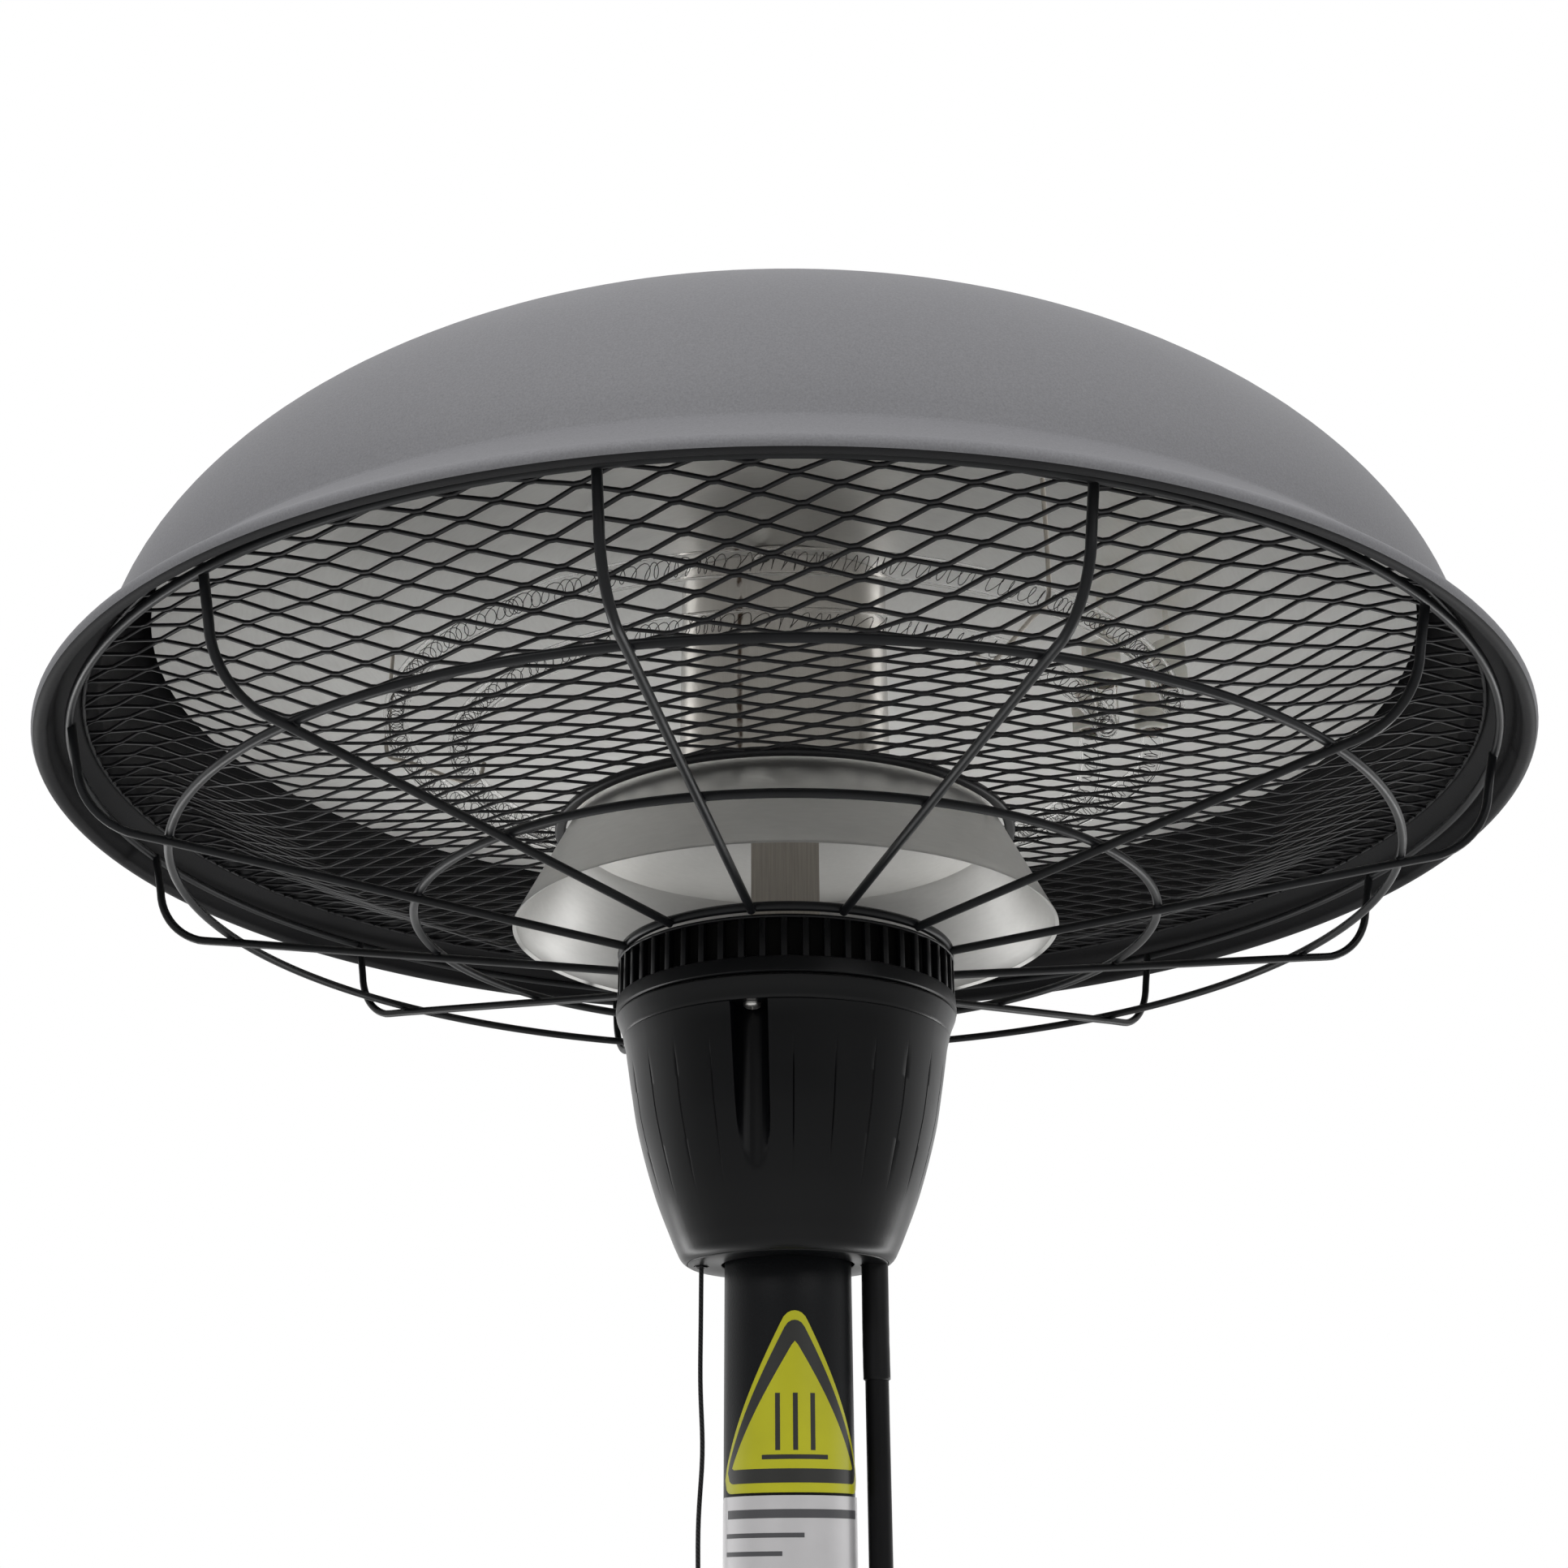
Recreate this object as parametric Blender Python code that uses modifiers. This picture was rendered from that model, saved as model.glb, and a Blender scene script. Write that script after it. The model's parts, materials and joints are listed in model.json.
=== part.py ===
"""Electric patio heater with a mushroom head: a steel shade over two ring-shaped quartz
elements, a wire guard, a switch housing with a pull cord, a two-part post and a weighted base.

Metres, +Z up. The origin is on the floor at the centre of the base. The cable hangs on the
+X side of the post and the label faces -Y. Heights in the head are given from the shade's rim.
"""
import bmesh
import bpy
from math import acos, cos, hypot, pi, radians, sin
from mathutils import Matrix, Vector
from mathutils.geometry import interpolate_bezier

# Driving dimensions -----------------------------------------------------------------------
RIM_Z = 1.920          # reference plane just under the shade's lip, above the floor
SHADE_R = 0.300        # outer radius of the rim
SHADE_T = 0.0012       # sheet thickness of the shade
POST_R = 0.0245        # outer radius of the post
POST_T = 0.0015
GAP = 0.0003           # clearance left between neighbouring solids

# Shade: an elliptical dome that flares out to a rolled bead
DOME_R = 0.281
DOME_H = 0.158
DOME_SPRING = 0.0165   # where the dome's wall meets the flare, above the reference plane
FLARE = ((0.2832, 0.0125), (0.2882, 0.0098), (0.2935, 0.0082))   # from the dome down to the bead
BEAD_R = 0.004
BEAD_Z = 0.004

# Reflectors
DISH_R = 0.262         # outer edge of the upper reflector
DISH_EDGE_Z = 0.060
DISH_TOP_Z = 0.109
COLUMN_R = 0.045
COLUMN_SCREW_TURN = radians(-11)   # counted from -Y towards +X
COLUMN_SCREW_Z = 0.1045
REFLECTOR_T = 0.001
CUP_TOP_R = 0.0895     # lower reflector, at its closed top
CUP_TOP_Z = -0.004
CUP_MOUTH_R = 0.1115
CUP_MOUTH_Z = -0.0485

# Heating elements: two quartz rings with both ends bent up on the +X side
TUBE_R = 0.005
TUBE_WALL = 0.001
OUTER_RING = (0.1635, 0.038)   # radius and height
INNER_RING = (0.1365, 0.028)
LEG_BEND = 0.014
LEG_TOP_Z = 0.060
END_SPREAD = radians(9)        # half the gap between a ring's two legs

# Guards
WIRE_R = 0.00175
GUARD_COUNT = 12
GUARD_TURN = radians(19.5)     # first wire, counted from -Y towards +X
GUARD_RINGS = ((0.246, -0.032), (0.151, -0.045))
GUARD_TOP_RING = (0.2872, 0.006)
GUARD_HUB_R = 0.0668
GUARD_HUB_WIRE_R = 0.0019
GUARD_SLOPE = 0.137
GUARD_BEND_R = 0.020
GUARD_WALL_R = 0.2780      # radius at which the radial wires turn up
GUARD_LIFT = 2 * WIRE_R - 0.0006   # how far crossing wires' centre lines stand apart where they are welded
MESH_T = 0.0015
MESH_OUTER = (0.2735, 0.0335)
MESH_CREASE = (0.205, -0.0045)
MESH_INNER_R = 0.0955
HEM_R = 0.0016

# Switch housing
COLLAR_TOP_Z = -0.0613
COLLAR_R = 0.0685
COLLAR_BOTTOM_Z = -0.0838
COLLAR_WALL = 0.003
LINER_R = (0.0625, 0.0645)      # a plain ring inside the collar, behind its slots
LINER_TOP_Z = -0.0600
SLOT_COUNT = 52
SLOT_W = 0.0058
SLOT_Z = (-0.0772, -0.0625)
HOUSING_WALL = 0.0018
HOUSING_PROFILE = (            # outer radius and height, from the top edge down
    (0.0684, -0.0842), (0.0684, -0.0852), (0.0666, -0.0894), (0.0652, -0.0940), (0.0638, -0.1020),
    (0.0619, -0.1140), (0.0588, -0.1310), (0.0519, -0.1550), (0.0448, -0.1730), (0.0424, -0.1782),
)
FLOOR_Z = -0.1785              # upper face of the plate that closes the housing
FLOOR_T = 0.0035
FLOOR_EDGE = ((0.0420, -0.1785), (0.0411, -0.1802), (0.0388, -0.1820))
GROOVE_AT = 0.0588             # distance of the screw grooves from the axis
GROOVE_R = 0.0066
GROOVE_TOP_Z = -0.0930
FIRST_GROOVE = radians(-12)

# Post and what stands in it
POST_TOP_Z = RIM_Z - 0.1656
POST_JOINT_Z = 0.930
POST_FOOT_Z = 0.0525
SOCKET_Z = RIM_Z - 0.1650
STEM_SIZE = (0.028, 0.020)
STEM_WALL = 0.002

# Pull switch: a cord over a small wheel
CORD_X = -0.0335
CORD_R = 0.0009
PULL_TRAVEL = 0.012
WHEEL_R = 0.006
WHEEL_Z = RIM_Z - 0.1390
CORD_END_Z = RIM_Z - 0.6343
SWITCH_BOX = ((-0.0420, -0.0170), (-0.0090, 0.0090), (RIM_Z - 0.1560, RIM_Z - 0.1220))
SWITCH_WALL = 0.0015

# Base
BASE_R = 0.230
COVER_T = 0.0015
COVER_PROFILE = (              # outer radius and height, from the post outwards
    (0.0262, 0.0760), (0.0600, 0.0735), (0.1200, 0.0660), (0.1800, 0.0550),
    (0.2120, 0.0455), (0.2255, 0.0360), (0.2300, 0.0240), (0.2300, 0.0050),
)
WEIGHT_R = 0.205

# Supply cable
CABLE_X = 0.0335
CABLE_R = 0.0045
SLEEVE_R = 0.0053
COIL_AT = (-0.020, 0.312)      # centre of the coiled spare length, on the floor
COIL_MID_R = 0.050
COIL_Z = (0.0016, 0.0202)
COIL_HALF_W = 0.0140
PLUG_AT = (0.0186, 0.3685)     # back of the plug's strain relief, beside the coil
PLUG_TURN = radians(2)

PARTS = "patio_heater"


# Scene helpers ----------------------------------------------------------------------------
def clear_scene():
    for obj in list(bpy.data.objects):
        bpy.data.objects.remove(obj, do_unlink=True)
    for group in list(bpy.data.collections):
        bpy.data.collections.remove(group)


def make_collection(name):
    group = bpy.data.collections.new(name)
    bpy.context.scene.collection.children.link(group)
    return group


def make_material(name, colour, roughness, metallic=0.0):
    mat = bpy.data.materials.new(name)
    mat.use_nodes = True
    shader = mat.node_tree.nodes["Principled BSDF"]
    shader.inputs["Base Color"].default_value = (*colour, 1.0)
    shader.inputs["Roughness"].default_value = roughness
    shader.inputs["Metallic"].default_value = metallic
    mat.diffuse_color = (*colour, 1.0)
    return mat


clear_scene()
parts = make_collection(PARTS)
cutters = make_collection("cutters")

MATERIALS = {
    "shade_paint": make_material("shade_paint", (0.15, 0.15, 0.155), 0.55),
    "post_paint": make_material("post_paint", (0.045, 0.047, 0.05), 0.45),
    "black_wire": make_material("black_wire", (0.03, 0.03, 0.032), 0.5),
    "housing_plastic": make_material("housing_plastic", (0.02, 0.021, 0.023), 0.42),
    "aluminium": make_material("aluminium", (0.78, 0.77, 0.74), 0.25, 1.0),
    "steel": make_material("steel", (0.60, 0.59, 0.56), 0.32, 1.0),
    "quartz": make_material("quartz", (0.85, 0.87, 0.88), 0.05),
    "filament_wire": make_material("filament_wire", (0.18, 0.16, 0.15), 0.5, 1.0),
    "ceramic": make_material("ceramic", (0.86, 0.84, 0.79), 0.6),
    "cable_rubber": make_material("cable_rubber", (0.025, 0.025, 0.025), 0.65),
    "cord_fibre": make_material("cord_fibre", (0.03, 0.03, 0.03), 0.85),
    "label_yellow": make_material("label_yellow", (0.83, 0.76, 0.05), 0.35),
    "label_silver": make_material("label_silver", (0.62, 0.62, 0.63), 0.35),
    "light_plastic": make_material("light_plastic", (0.80, 0.79, 0.75), 0.5),
    "concrete": make_material("concrete", (0.42, 0.41, 0.39), 0.9),
}


def link(obj, group):
    for other in list(obj.users_collection):
        other.objects.unlink(obj)
    group.objects.link(obj)


def dress(obj, name, material):
    """Names an object, gives it its material and shades it smooth with sharp edges kept."""
    obj.name = name
    obj.data.name = name
    obj.data.materials.clear()
    obj.data.materials.append(MATERIALS[material])
    link(obj, parts)
    if obj.type == "MESH":
        obj.data.shade_smooth()
        obj.data.set_sharp_from_angle(angle=radians(35))
    return obj


def hide(obj):
    """Turns an object into a cutter or guide."""
    link(obj, cutters)
    obj.display_type = "WIRE"
    obj.hide_render = True
    return obj


def boolean(obj, tool, operation="DIFFERENCE"):
    mod = obj.modifiers.new(operation.lower(), "BOOLEAN")
    mod.operation = operation
    mod.solver = "EXACT"
    mod.object = hide(tool)
    return obj


def mesh_object(name, mesh):
    obj = bpy.data.objects.new(name, mesh)
    bpy.context.scene.collection.objects.link(obj)
    return obj


# Shape helpers ----------------------------------------------------------------------------
def arc(centre, radius, start, end, steps):
    """Points on an arc in the (radius, height) plane; angles in degrees."""
    angles = [radians(start + (end - start) * i / steps) for i in range(steps + 1)]
    return [(centre[0] + radius * cos(a), centre[1] + radius * sin(a)) for a in angles]


def offset_path(path, distance):
    """The path moved sideways: to its right for a positive distance."""
    moved = []
    for i, (x, z) in enumerate(path):
        before = path[max(i - 1, 0)]
        after = path[min(i + 1, len(path) - 1)]
        dx, dz = after[0] - before[0], after[1] - before[1]
        size = hypot(dx, dz)
        moved.append((x + distance * dz / size, z - distance * dx / size))
    return moved


def sheet_profile(path, thickness, edge=()):
    """A closed outline of sheet metal: the path, what rounds its end, and the path's inside."""
    return [*path, *edge, *reversed(offset_path(path, thickness))]


def clockwise(loop):
    area = sum(a[0] * b[1] - b[0] * a[1] for a, b in zip(loop, loop[1:] + loop[:1]))
    return loop if area < 0 else list(reversed(loop))


def turned(name, profile, material, steps=40, base=RIM_Z, at=(0.0, 0.0), closed=True):
    """A turned solid from an outline of (radius, height) points; an open one ends on the axis."""
    loop = clockwise(list(profile))
    if not closed:
        first = min(range(len(loop)), key=lambda i: (loop[i][0] > 1e-7, -loop[i][1]))
        loop = loop[first:] + loop[:first]
    mesh = bpy.data.meshes.new(name)
    edges = [(i, i + 1) for i in range(len(loop) - 1)]
    if closed:
        edges.append((len(loop) - 1, 0))
    mesh.from_pydata([(r, 0.0, z) for r, z in loop], edges, [])
    obj = mesh_object(name, mesh)
    obj.location = (at[0], at[1], base)
    screw = obj.modifiers.new("screw", "SCREW")
    screw.axis = "Z"
    screw.angle = 2 * pi
    screw.steps = steps
    screw.render_steps = steps
    screw.use_merge_vertices = True
    screw.merge_threshold = 0.00001
    screw.use_smooth_shade = True
    return dress(obj, name, material)


def ring_profile(inner, outer, bottom, top):
    return [(inner, top), (outer, top), (outer, bottom), (inner, bottom)]


def box(name, low, high, material=None):
    bpy.ops.mesh.primitive_cube_add(size=1.0)
    obj = bpy.context.active_object
    size = [b - a for a, b in zip(low, high)]
    centre = [(a + b) / 2 for a, b in zip(low, high)]
    obj.data.transform(Matrix.LocRotScale(Vector(centre), None, Vector(size)))
    return dress(obj, name, material) if material else obj


def cylinder(name, radius, depth, centre, axis=(0, 0, 1), material=None, sides=16):
    bpy.ops.mesh.primitive_cylinder_add(vertices=sides, radius=radius, depth=depth)
    obj = bpy.context.active_object
    turn = Vector((0, 0, 1)).rotation_difference(Vector(axis)).to_matrix().to_4x4()
    obj.data.transform(Matrix.Translation(centre) @ turn)
    return dress(obj, name, material) if material else obj


def wire(name, points, radius, material, cyclic=False, resolution=2, caps=True):
    curve = bpy.data.curves.new(name, "CURVE")
    curve.dimensions = "3D"
    curve.bevel_depth = radius
    curve.bevel_resolution = resolution
    curve.use_fill_caps = caps
    spline = curve.splines.new("POLY")
    spline.points.add(len(points) - 1)
    for point, place in zip(spline.points, points):
        point.co = (*place, 1.0)
    spline.use_cyclic_u = cyclic
    obj = bpy.data.objects.new(name, curve)
    return dress(obj, name, material)


def as_mesh(obj, name, material):
    """The curve object turned into a mesh object with welded caps."""
    graph = bpy.context.evaluated_depsgraph_get()
    graph.update()
    mesh = bpy.data.meshes.new_from_object(obj.evaluated_get(graph))
    bm = bmesh.new()
    bm.from_mesh(mesh)
    bmesh.ops.remove_doubles(bm, verts=bm.verts, dist=0.000001)
    bm.to_mesh(mesh)
    bm.free()
    made = mesh_object(name, mesh)
    made.matrix_world = obj.matrix_world
    bpy.data.objects.remove(obj)
    return dress(made, name, material)


def joined(name, objects):
    """One mesh object that holds the meshes of several, for use as a cutter."""
    bm = bmesh.new()
    for obj in objects:
        bm.from_mesh(obj.data)
        bpy.data.objects.remove(obj)
    mesh = bpy.data.meshes.new(name)
    bm.to_mesh(mesh)
    bm.free()
    return mesh_object(name, mesh)


def around(angle, radius, height=0.0):
    """A point at an angle counted from -Y towards +X."""
    return Vector((radius * sin(angle), -radius * cos(angle), height))


def smooth_route(points, spacing):
    """Evenly spaced points along a smooth curve through the given ones."""
    knots = [Vector(p) for p in points]
    fine = []
    for i in range(len(knots) - 1):
        a, b = knots[i], knots[i + 1]
        before = knots[i - 1] if i else a * 2 - b
        after = knots[i + 2] if i + 2 < len(knots) else b * 2 - a
        third = (b - a).length / 3
        go = (b - before).normalized() * third
        come = (after - a).normalized() * third
        fine += interpolate_bezier(a, a + go, b - come, b, 24)[:-1]
    fine.append(knots[-1])
    total = sum((b - a).length for a, b in zip(fine, fine[1:]))
    count = max(2, round(total / spacing))
    step, route, walked, due = total / count, [fine[0]], 0.0, total / count
    for a, b in zip(fine, fine[1:]):
        length = (b - a).length
        while walked + length >= due and len(route) < count:
            route.append(a.lerp(b, (due - walked) / length))
            due += step
        walked += length
    return route + [fine[-1]]


# Shade and the stack on its axis ----------------------------------------------------------
STUD_R = 0.004
STUD_HOLE_R = 0.0046
DOME_TOP_Z = DOME_SPRING + DOME_H


def make_shade():
    start = acos(STUD_HOLE_R / DOME_R)
    dome_steps = 6
    path = []
    for i in range(dome_steps + 1):
        a = start * (1 - i / dome_steps)
        path.append((DOME_R * cos(a), DOME_SPRING + DOME_H * sin(a)))
    path += FLARE
    bead_at = (SHADE_R - BEAD_R, BEAD_Z)
    bead = arc(bead_at, BEAD_R, 95, -185, 4)
    turned("shade", sheet_profile(path, SHADE_T, bead), "shade_paint", steps=32)


def make_axis_stack():
    top = DOME_TOP_Z + GAP
    washer_t = 0.0015
    turned("shade_washer", ring_profile(STUD_HOLE_R, 0.012, top, top + washer_t), "steel", steps=20)
    seat = top + washer_t + GAP
    crown_r, hex_h, bore_top = 0.0056, 0.006, 0.0095
    crown = arc((0.0, seat + hex_h), crown_r, 0, 90, 4)
    nut = [(STUD_R + GAP, seat), (0.0073, seat), (0.0073, seat + hex_h), *crown]
    nut += [(0.0, seat + bore_top), (STUD_R + GAP, seat + bore_top)]
    turned("shade_cap_nut", nut, "steel", steps=18, closed=False)
    turned("shade_spacer", ring_profile(STUD_HOLE_R, 0.010, DISH_TOP_Z + REFLECTOR_T + GAP,
                                        DOME_TOP_Z - SHADE_T - 2 * GAP), "steel", steps=16)
    stud_low, stud_high = -0.032, seat + bore_top - 0.001
    cylinder("centre_stud", STUD_R, stud_high - stud_low,
             (0, 0, RIM_Z + (stud_low + stud_high) / 2), material="steel", sides=12)


# Reflectors -------------------------------------------------------------------------------
def dish_z(radius):
    """Height of the upper reflector's underside at a radius."""
    share = max(0.0, (radius - COLUMN_R) / (DISH_R - COLUMN_R))
    return DISH_TOP_Z - (DISH_TOP_Z - DISH_EDGE_Z) * share ** 1.5


def make_reflectors():
    radii = (STUD_HOLE_R, COLUMN_R, 0.100, 0.160, 0.215, DISH_R)
    dish = [(r, dish_z(r) + REFLECTOR_T) for r in radii]
    turned("upper_reflector", sheet_profile(dish, REFLECTOR_T), "aluminium", steps=28)
    turned("reflector_column",
           ring_profile(COLUMN_R - REFLECTOR_T, COLUMN_R, CUP_TOP_Z + GAP, DISH_TOP_Z - GAP),
           "aluminium", steps=24)
    cup = [(STUD_HOLE_R, CUP_TOP_Z), (CUP_TOP_R - 0.003, CUP_TOP_Z), (CUP_TOP_R, CUP_TOP_Z - 0.002),
           (CUP_MOUTH_R - 0.0008, CUP_MOUTH_Z + 0.001), (CUP_MOUTH_R, CUP_MOUTH_Z)]
    turned("lower_reflector", sheet_profile(cup, REFLECTOR_T), "aluminium", steps=24)
    head_r, head_h = 0.0034, 0.0018
    out = around(COLUMN_SCREW_TURN, 1.0)
    centre = out * (COLUMN_R + GAP + head_h / 2) + Vector((0, 0, RIM_Z + COLUMN_SCREW_Z))
    cylinder("column_screw", head_r, head_h, centre, out, "steel", sides=12)


# Heating elements -------------------------------------------------------------------------
def element_path(radius, height, spread):
    """Centre line of a ring element: up one leg, round the ring and up the other leg."""
    turn = LEG_BEND / radius
    ring_steps = 18
    first, last = spread + turn, 2 * pi - spread - turn

    def at(angle, z):
        return Vector((radius * cos(angle), radius * sin(angle), RIM_Z + z))

    leg = [at(spread, LEG_TOP_Z)]
    for i in range(3):
        a = radians(180 + 90 * i / 2)
        leg.append(at(first + turn * cos(a), height + LEG_BEND * (1 + sin(a))))
    ring = [at(first + (last - first) * i / ring_steps, height) for i in range(1, ring_steps)]
    mirrored = [Vector((p.x, -p.y, p.z)) for p in reversed(leg)]
    return leg + ring + mirrored


def make_elements():
    for label, (radius, height) in (("outer", OUTER_RING), ("inner", INNER_RING)):
        spread = END_SPREAD * OUTER_RING[0] / radius
        path = element_path(radius, height, spread)
        tube = wire("quartz_path", path, TUBE_R, "quartz", resolution=1, caps=False)
        tube = as_mesh(tube, f"quartz_tube_{label}", "quartz")
        wall = tube.modifiers.new("wall", "SOLIDIFY")
        wall.thickness = TUBE_WALL
        wall.offset = -1.0
        inset = [path[0] - Vector((0, 0, 0.002)), *path[1:-1], path[-1] - Vector((0, 0, 0.002))]
        wire(f"filament_{label}", inset, 0.0022, "filament_wire", resolution=0)
        cap_r, cap_low, cap_high, bore = 0.0072, LEG_TOP_Z - 0.008, LEG_TOP_Z + 0.010, 0.0053
        nib_r, nib_top = 0.0012, dish_z(radius) - 0.002
        for number, side in ((1, -1), (2, 1)):
            profile = [(0.0, nib_top), (nib_r, nib_top), (nib_r, cap_high), (cap_r, cap_high),
                       (cap_r, cap_low), (bore, cap_low), (bore, LEG_TOP_Z + GAP), (0.0, LEG_TOP_Z + GAP)]
            turned(f"end_cap_{label}_{number}", profile, "ceramic", steps=14, closed=False,
                   at=(radius * cos(spread), side * radius * sin(spread)))


def make_hangers():
    hanger_r = 0.0011
    under = TUBE_R + GAP + hanger_r
    (r_out, z_out), (r_in, z_in) = OUTER_RING, INNER_RING
    outline = [(r_in - under - 0.0022, z_in + 0.002), (r_in - 0.0062, z_in - under + 0.0007),
               (r_in, z_in - under - 0.0002), ((r_in + r_out) / 2, z_in - 0.0015),
               (r_out - 0.0015, z_out - under - 0.0004), (r_out + 0.0045, z_out - under + 0.0010),
               (r_out + under + 0.0004, z_out), (r_out + under + 0.0004, 0.0840)]
    for number, angle in enumerate((35, 155, 270), start=1):
        points = [around(radians(angle), r, RIM_Z + z) for r, z in outline]
        wire(f"tube_hanger_{number}", points, hanger_r, "steel")


# Guards -----------------------------------------------------------------------------------
def make_mesh_guard():
    path = [(MESH_INNER_R, MESH_CREASE[1] - 0.0005), (MESH_CREASE[0] - 0.012, MESH_CREASE[1] - 0.0002),
            (MESH_CREASE[0] + 0.006, MESH_CREASE[1] + 0.0026), MESH_OUTER]
    turned("mesh_guard", sheet_profile(path, MESH_T), "black_wire", steps=28)
    bpy.ops.mesh.primitive_torus_add(
        major_radius=CUP_TOP_R + HEM_R + 0.0020, minor_radius=HEM_R, major_segments=28,
        minor_segments=6, location=(0, 0, RIM_Z + MESH_CREASE[1] - 0.0010))
    dress(bpy.context.active_object, "mesh_hem_ring", "black_wire")


def guard_line(radius):
    """Height of a radial guard wire's centre line at a radius."""
    ring_r, ring_z = GUARD_RINGS[0]
    return ring_z - GUARD_LIFT - GUARD_SLOPE * (ring_r - radius)


def make_wire_guard():
    foot = GUARD_WALL_R - GUARD_BEND_R
    inner_end = GUARD_HUB_R + 0.0008
    outline = [(inner_end, guard_line(inner_end)), (foot - 0.002, guard_line(foot - 0.002))]
    centre = (foot - 0.002, guard_line(foot) + GUARD_BEND_R)
    outline += arc(centre, GUARD_BEND_R, -60, -6, 3)
    outline.append((GUARD_TOP_RING[0] - 0.0008, GUARD_TOP_RING[1] + 0.0004))
    wires = []
    for i in range(GUARD_COUNT):
        angle = GUARD_TURN + 2 * pi * i / GUARD_COUNT
        points = [around(angle, r, RIM_Z + z) for r, z in outline]
        wires.append(as_mesh(wire("radial", points, WIRE_R, "black_wire", resolution=1),
                             "radial", "black_wire"))
    rings = [(*ring, WIRE_R) for ring in (*GUARD_RINGS, GUARD_TOP_RING)]
    rings.append((GUARD_HUB_R, guard_line(GUARD_HUB_R) + WIRE_R, GUARD_HUB_WIRE_R))
    hoops = []
    for radius, height, wire_r in rings:
        bpy.ops.mesh.primitive_torus_add(
            major_radius=radius, minor_radius=wire_r, major_segments=2 * GUARD_COUNT,
            minor_segments=6, location=(0, 0, 0))
        hoop = bpy.context.active_object
        hoop.data.transform(Matrix.Translation((0, 0, RIM_Z + height)) @ Matrix.Rotation(GUARD_TURN, 4, "Z"))
        hoops.append(hoop)
    guard = joined("wire_guard", hoops)
    dress(guard, "wire_guard", "black_wire")
    boolean(guard, joined("guard_radials", wires), "UNION")


# Switch housing ---------------------------------------------------------------------------
def make_collar():
    inner_r = COLLAR_R - COLLAR_WALL
    foot_top = SLOT_Z[0] - 0.0028
    profile = [(inner_r, COLLAR_TOP_Z), (COLLAR_R, COLLAR_TOP_Z), (COLLAR_R, COLLAR_BOTTOM_Z),
               (LINER_R[0], COLLAR_BOTTOM_Z), (LINER_R[0], LINER_TOP_Z), (LINER_R[1], LINER_TOP_Z),
               (LINER_R[1], foot_top), (inner_r, foot_top)]
    collar = turned("vent_collar", profile, "housing_plastic", steps=SLOT_COUNT)
    low, high = RIM_Z + SLOT_Z[0], RIM_Z + SLOT_Z[1]
    slots = []
    for i in range(SLOT_COUNT):
        slot = box("slot", (-SLOT_W / 2, inner_r - 0.0005, low), (SLOT_W / 2, COLLAR_R + 0.003, high))
        slot.data.transform(Matrix.Rotation(2 * pi * (i + 0.5) / SLOT_COUNT, 4, "Z"))
        slots.append(slot)
    boolean(collar, joined("collar_slots", slots))


def make_housing():
    outside = list(HOUSING_PROFILE)
    housing = turned("switch_housing", sheet_profile(outside, HOUSING_WALL), "housing_plastic", steps=24)
    filled = turned("housing_filled", [(0.0, outside[0][1] - GAP), *outside[1:-1], (0.0, outside[-1][1])],
                    "housing_plastic", steps=24, closed=False)
    bosses, grooves, holes = [], [], []
    boss_low, boss_high = RIM_Z - 0.1660, RIM_Z - 0.0865
    groove_low = RIM_Z - 0.1750
    groove_high = RIM_Z + GROOVE_TOP_Z
    screw_hole = 0.0018
    for i in range(3):
        spot = around(FIRST_GROOVE + 2 * pi * i / 3, GROOVE_AT)
        bosses.append(cylinder("boss", GROOVE_R + 0.0018, boss_high - boss_low,
                               spot + Vector((0, 0, (boss_low + boss_high) / 2)), sides=12))
        grooves.append(cylinder("groove", GROOVE_R, groove_high - groove_low,
                                spot + Vector((0, 0, (groove_low + groove_high) / 2)), sides=12))
        hole_high = boss_high - 0.001
        holes.append(cylinder("hole", screw_hole, hole_high - groove_high + 0.002,
                              spot + Vector((0, 0, (hole_high + groove_high) / 2 - 0.001)), sides=8))
        head_h, shank = 0.0022, 0.0045
        head = [(0.0, shank), (0.0015, shank), (0.0015, 0.0), (0.0034, 0.0),
                (0.0030, -head_h), (0.0, -head_h)]
        turned(f"housing_screw_{i + 1}", head, "steel", steps=12, closed=False,
               base=groove_high - GAP, at=(spot.x, spot.y))
    boss = boolean(joined("screw_bosses", bosses), filled, "INTERSECT")
    boolean(housing, boss, "UNION")
    boolean(housing, joined("screw_grooves", grooves))
    boolean(housing, joined("screw_holes", holes))

    bore = POST_R + 0.0015
    floor = turned("housing_floor", [(bore, FLOOR_Z), *FLOOR_EDGE, (bore, FLOOR_Z - FLOOR_T)],
                   "housing_plastic", steps=28)
    holes = [cylinder("hole", SLEEVE_R + GAP, 0.02, (CABLE_X, 0, RIM_Z + FLOOR_Z), sides=14),
             cylinder("hole", 0.0030, 0.02, (CORD_X, 0, RIM_Z + FLOOR_Z), sides=12)]
    boolean(floor, joined("floor_holes", holes))
    bush = [(0.0014, 0.0018), (0.0042, 0.0018), (0.0042, GAP), (0.0027, GAP),
            (0.0027, -FLOOR_T - 0.0006), (0.0014, -FLOOR_T - 0.0006)]
    turned("cord_bush", bush, "housing_plastic", steps=12, base=RIM_Z + FLOOR_Z, at=(CORD_X, 0.0))


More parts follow.
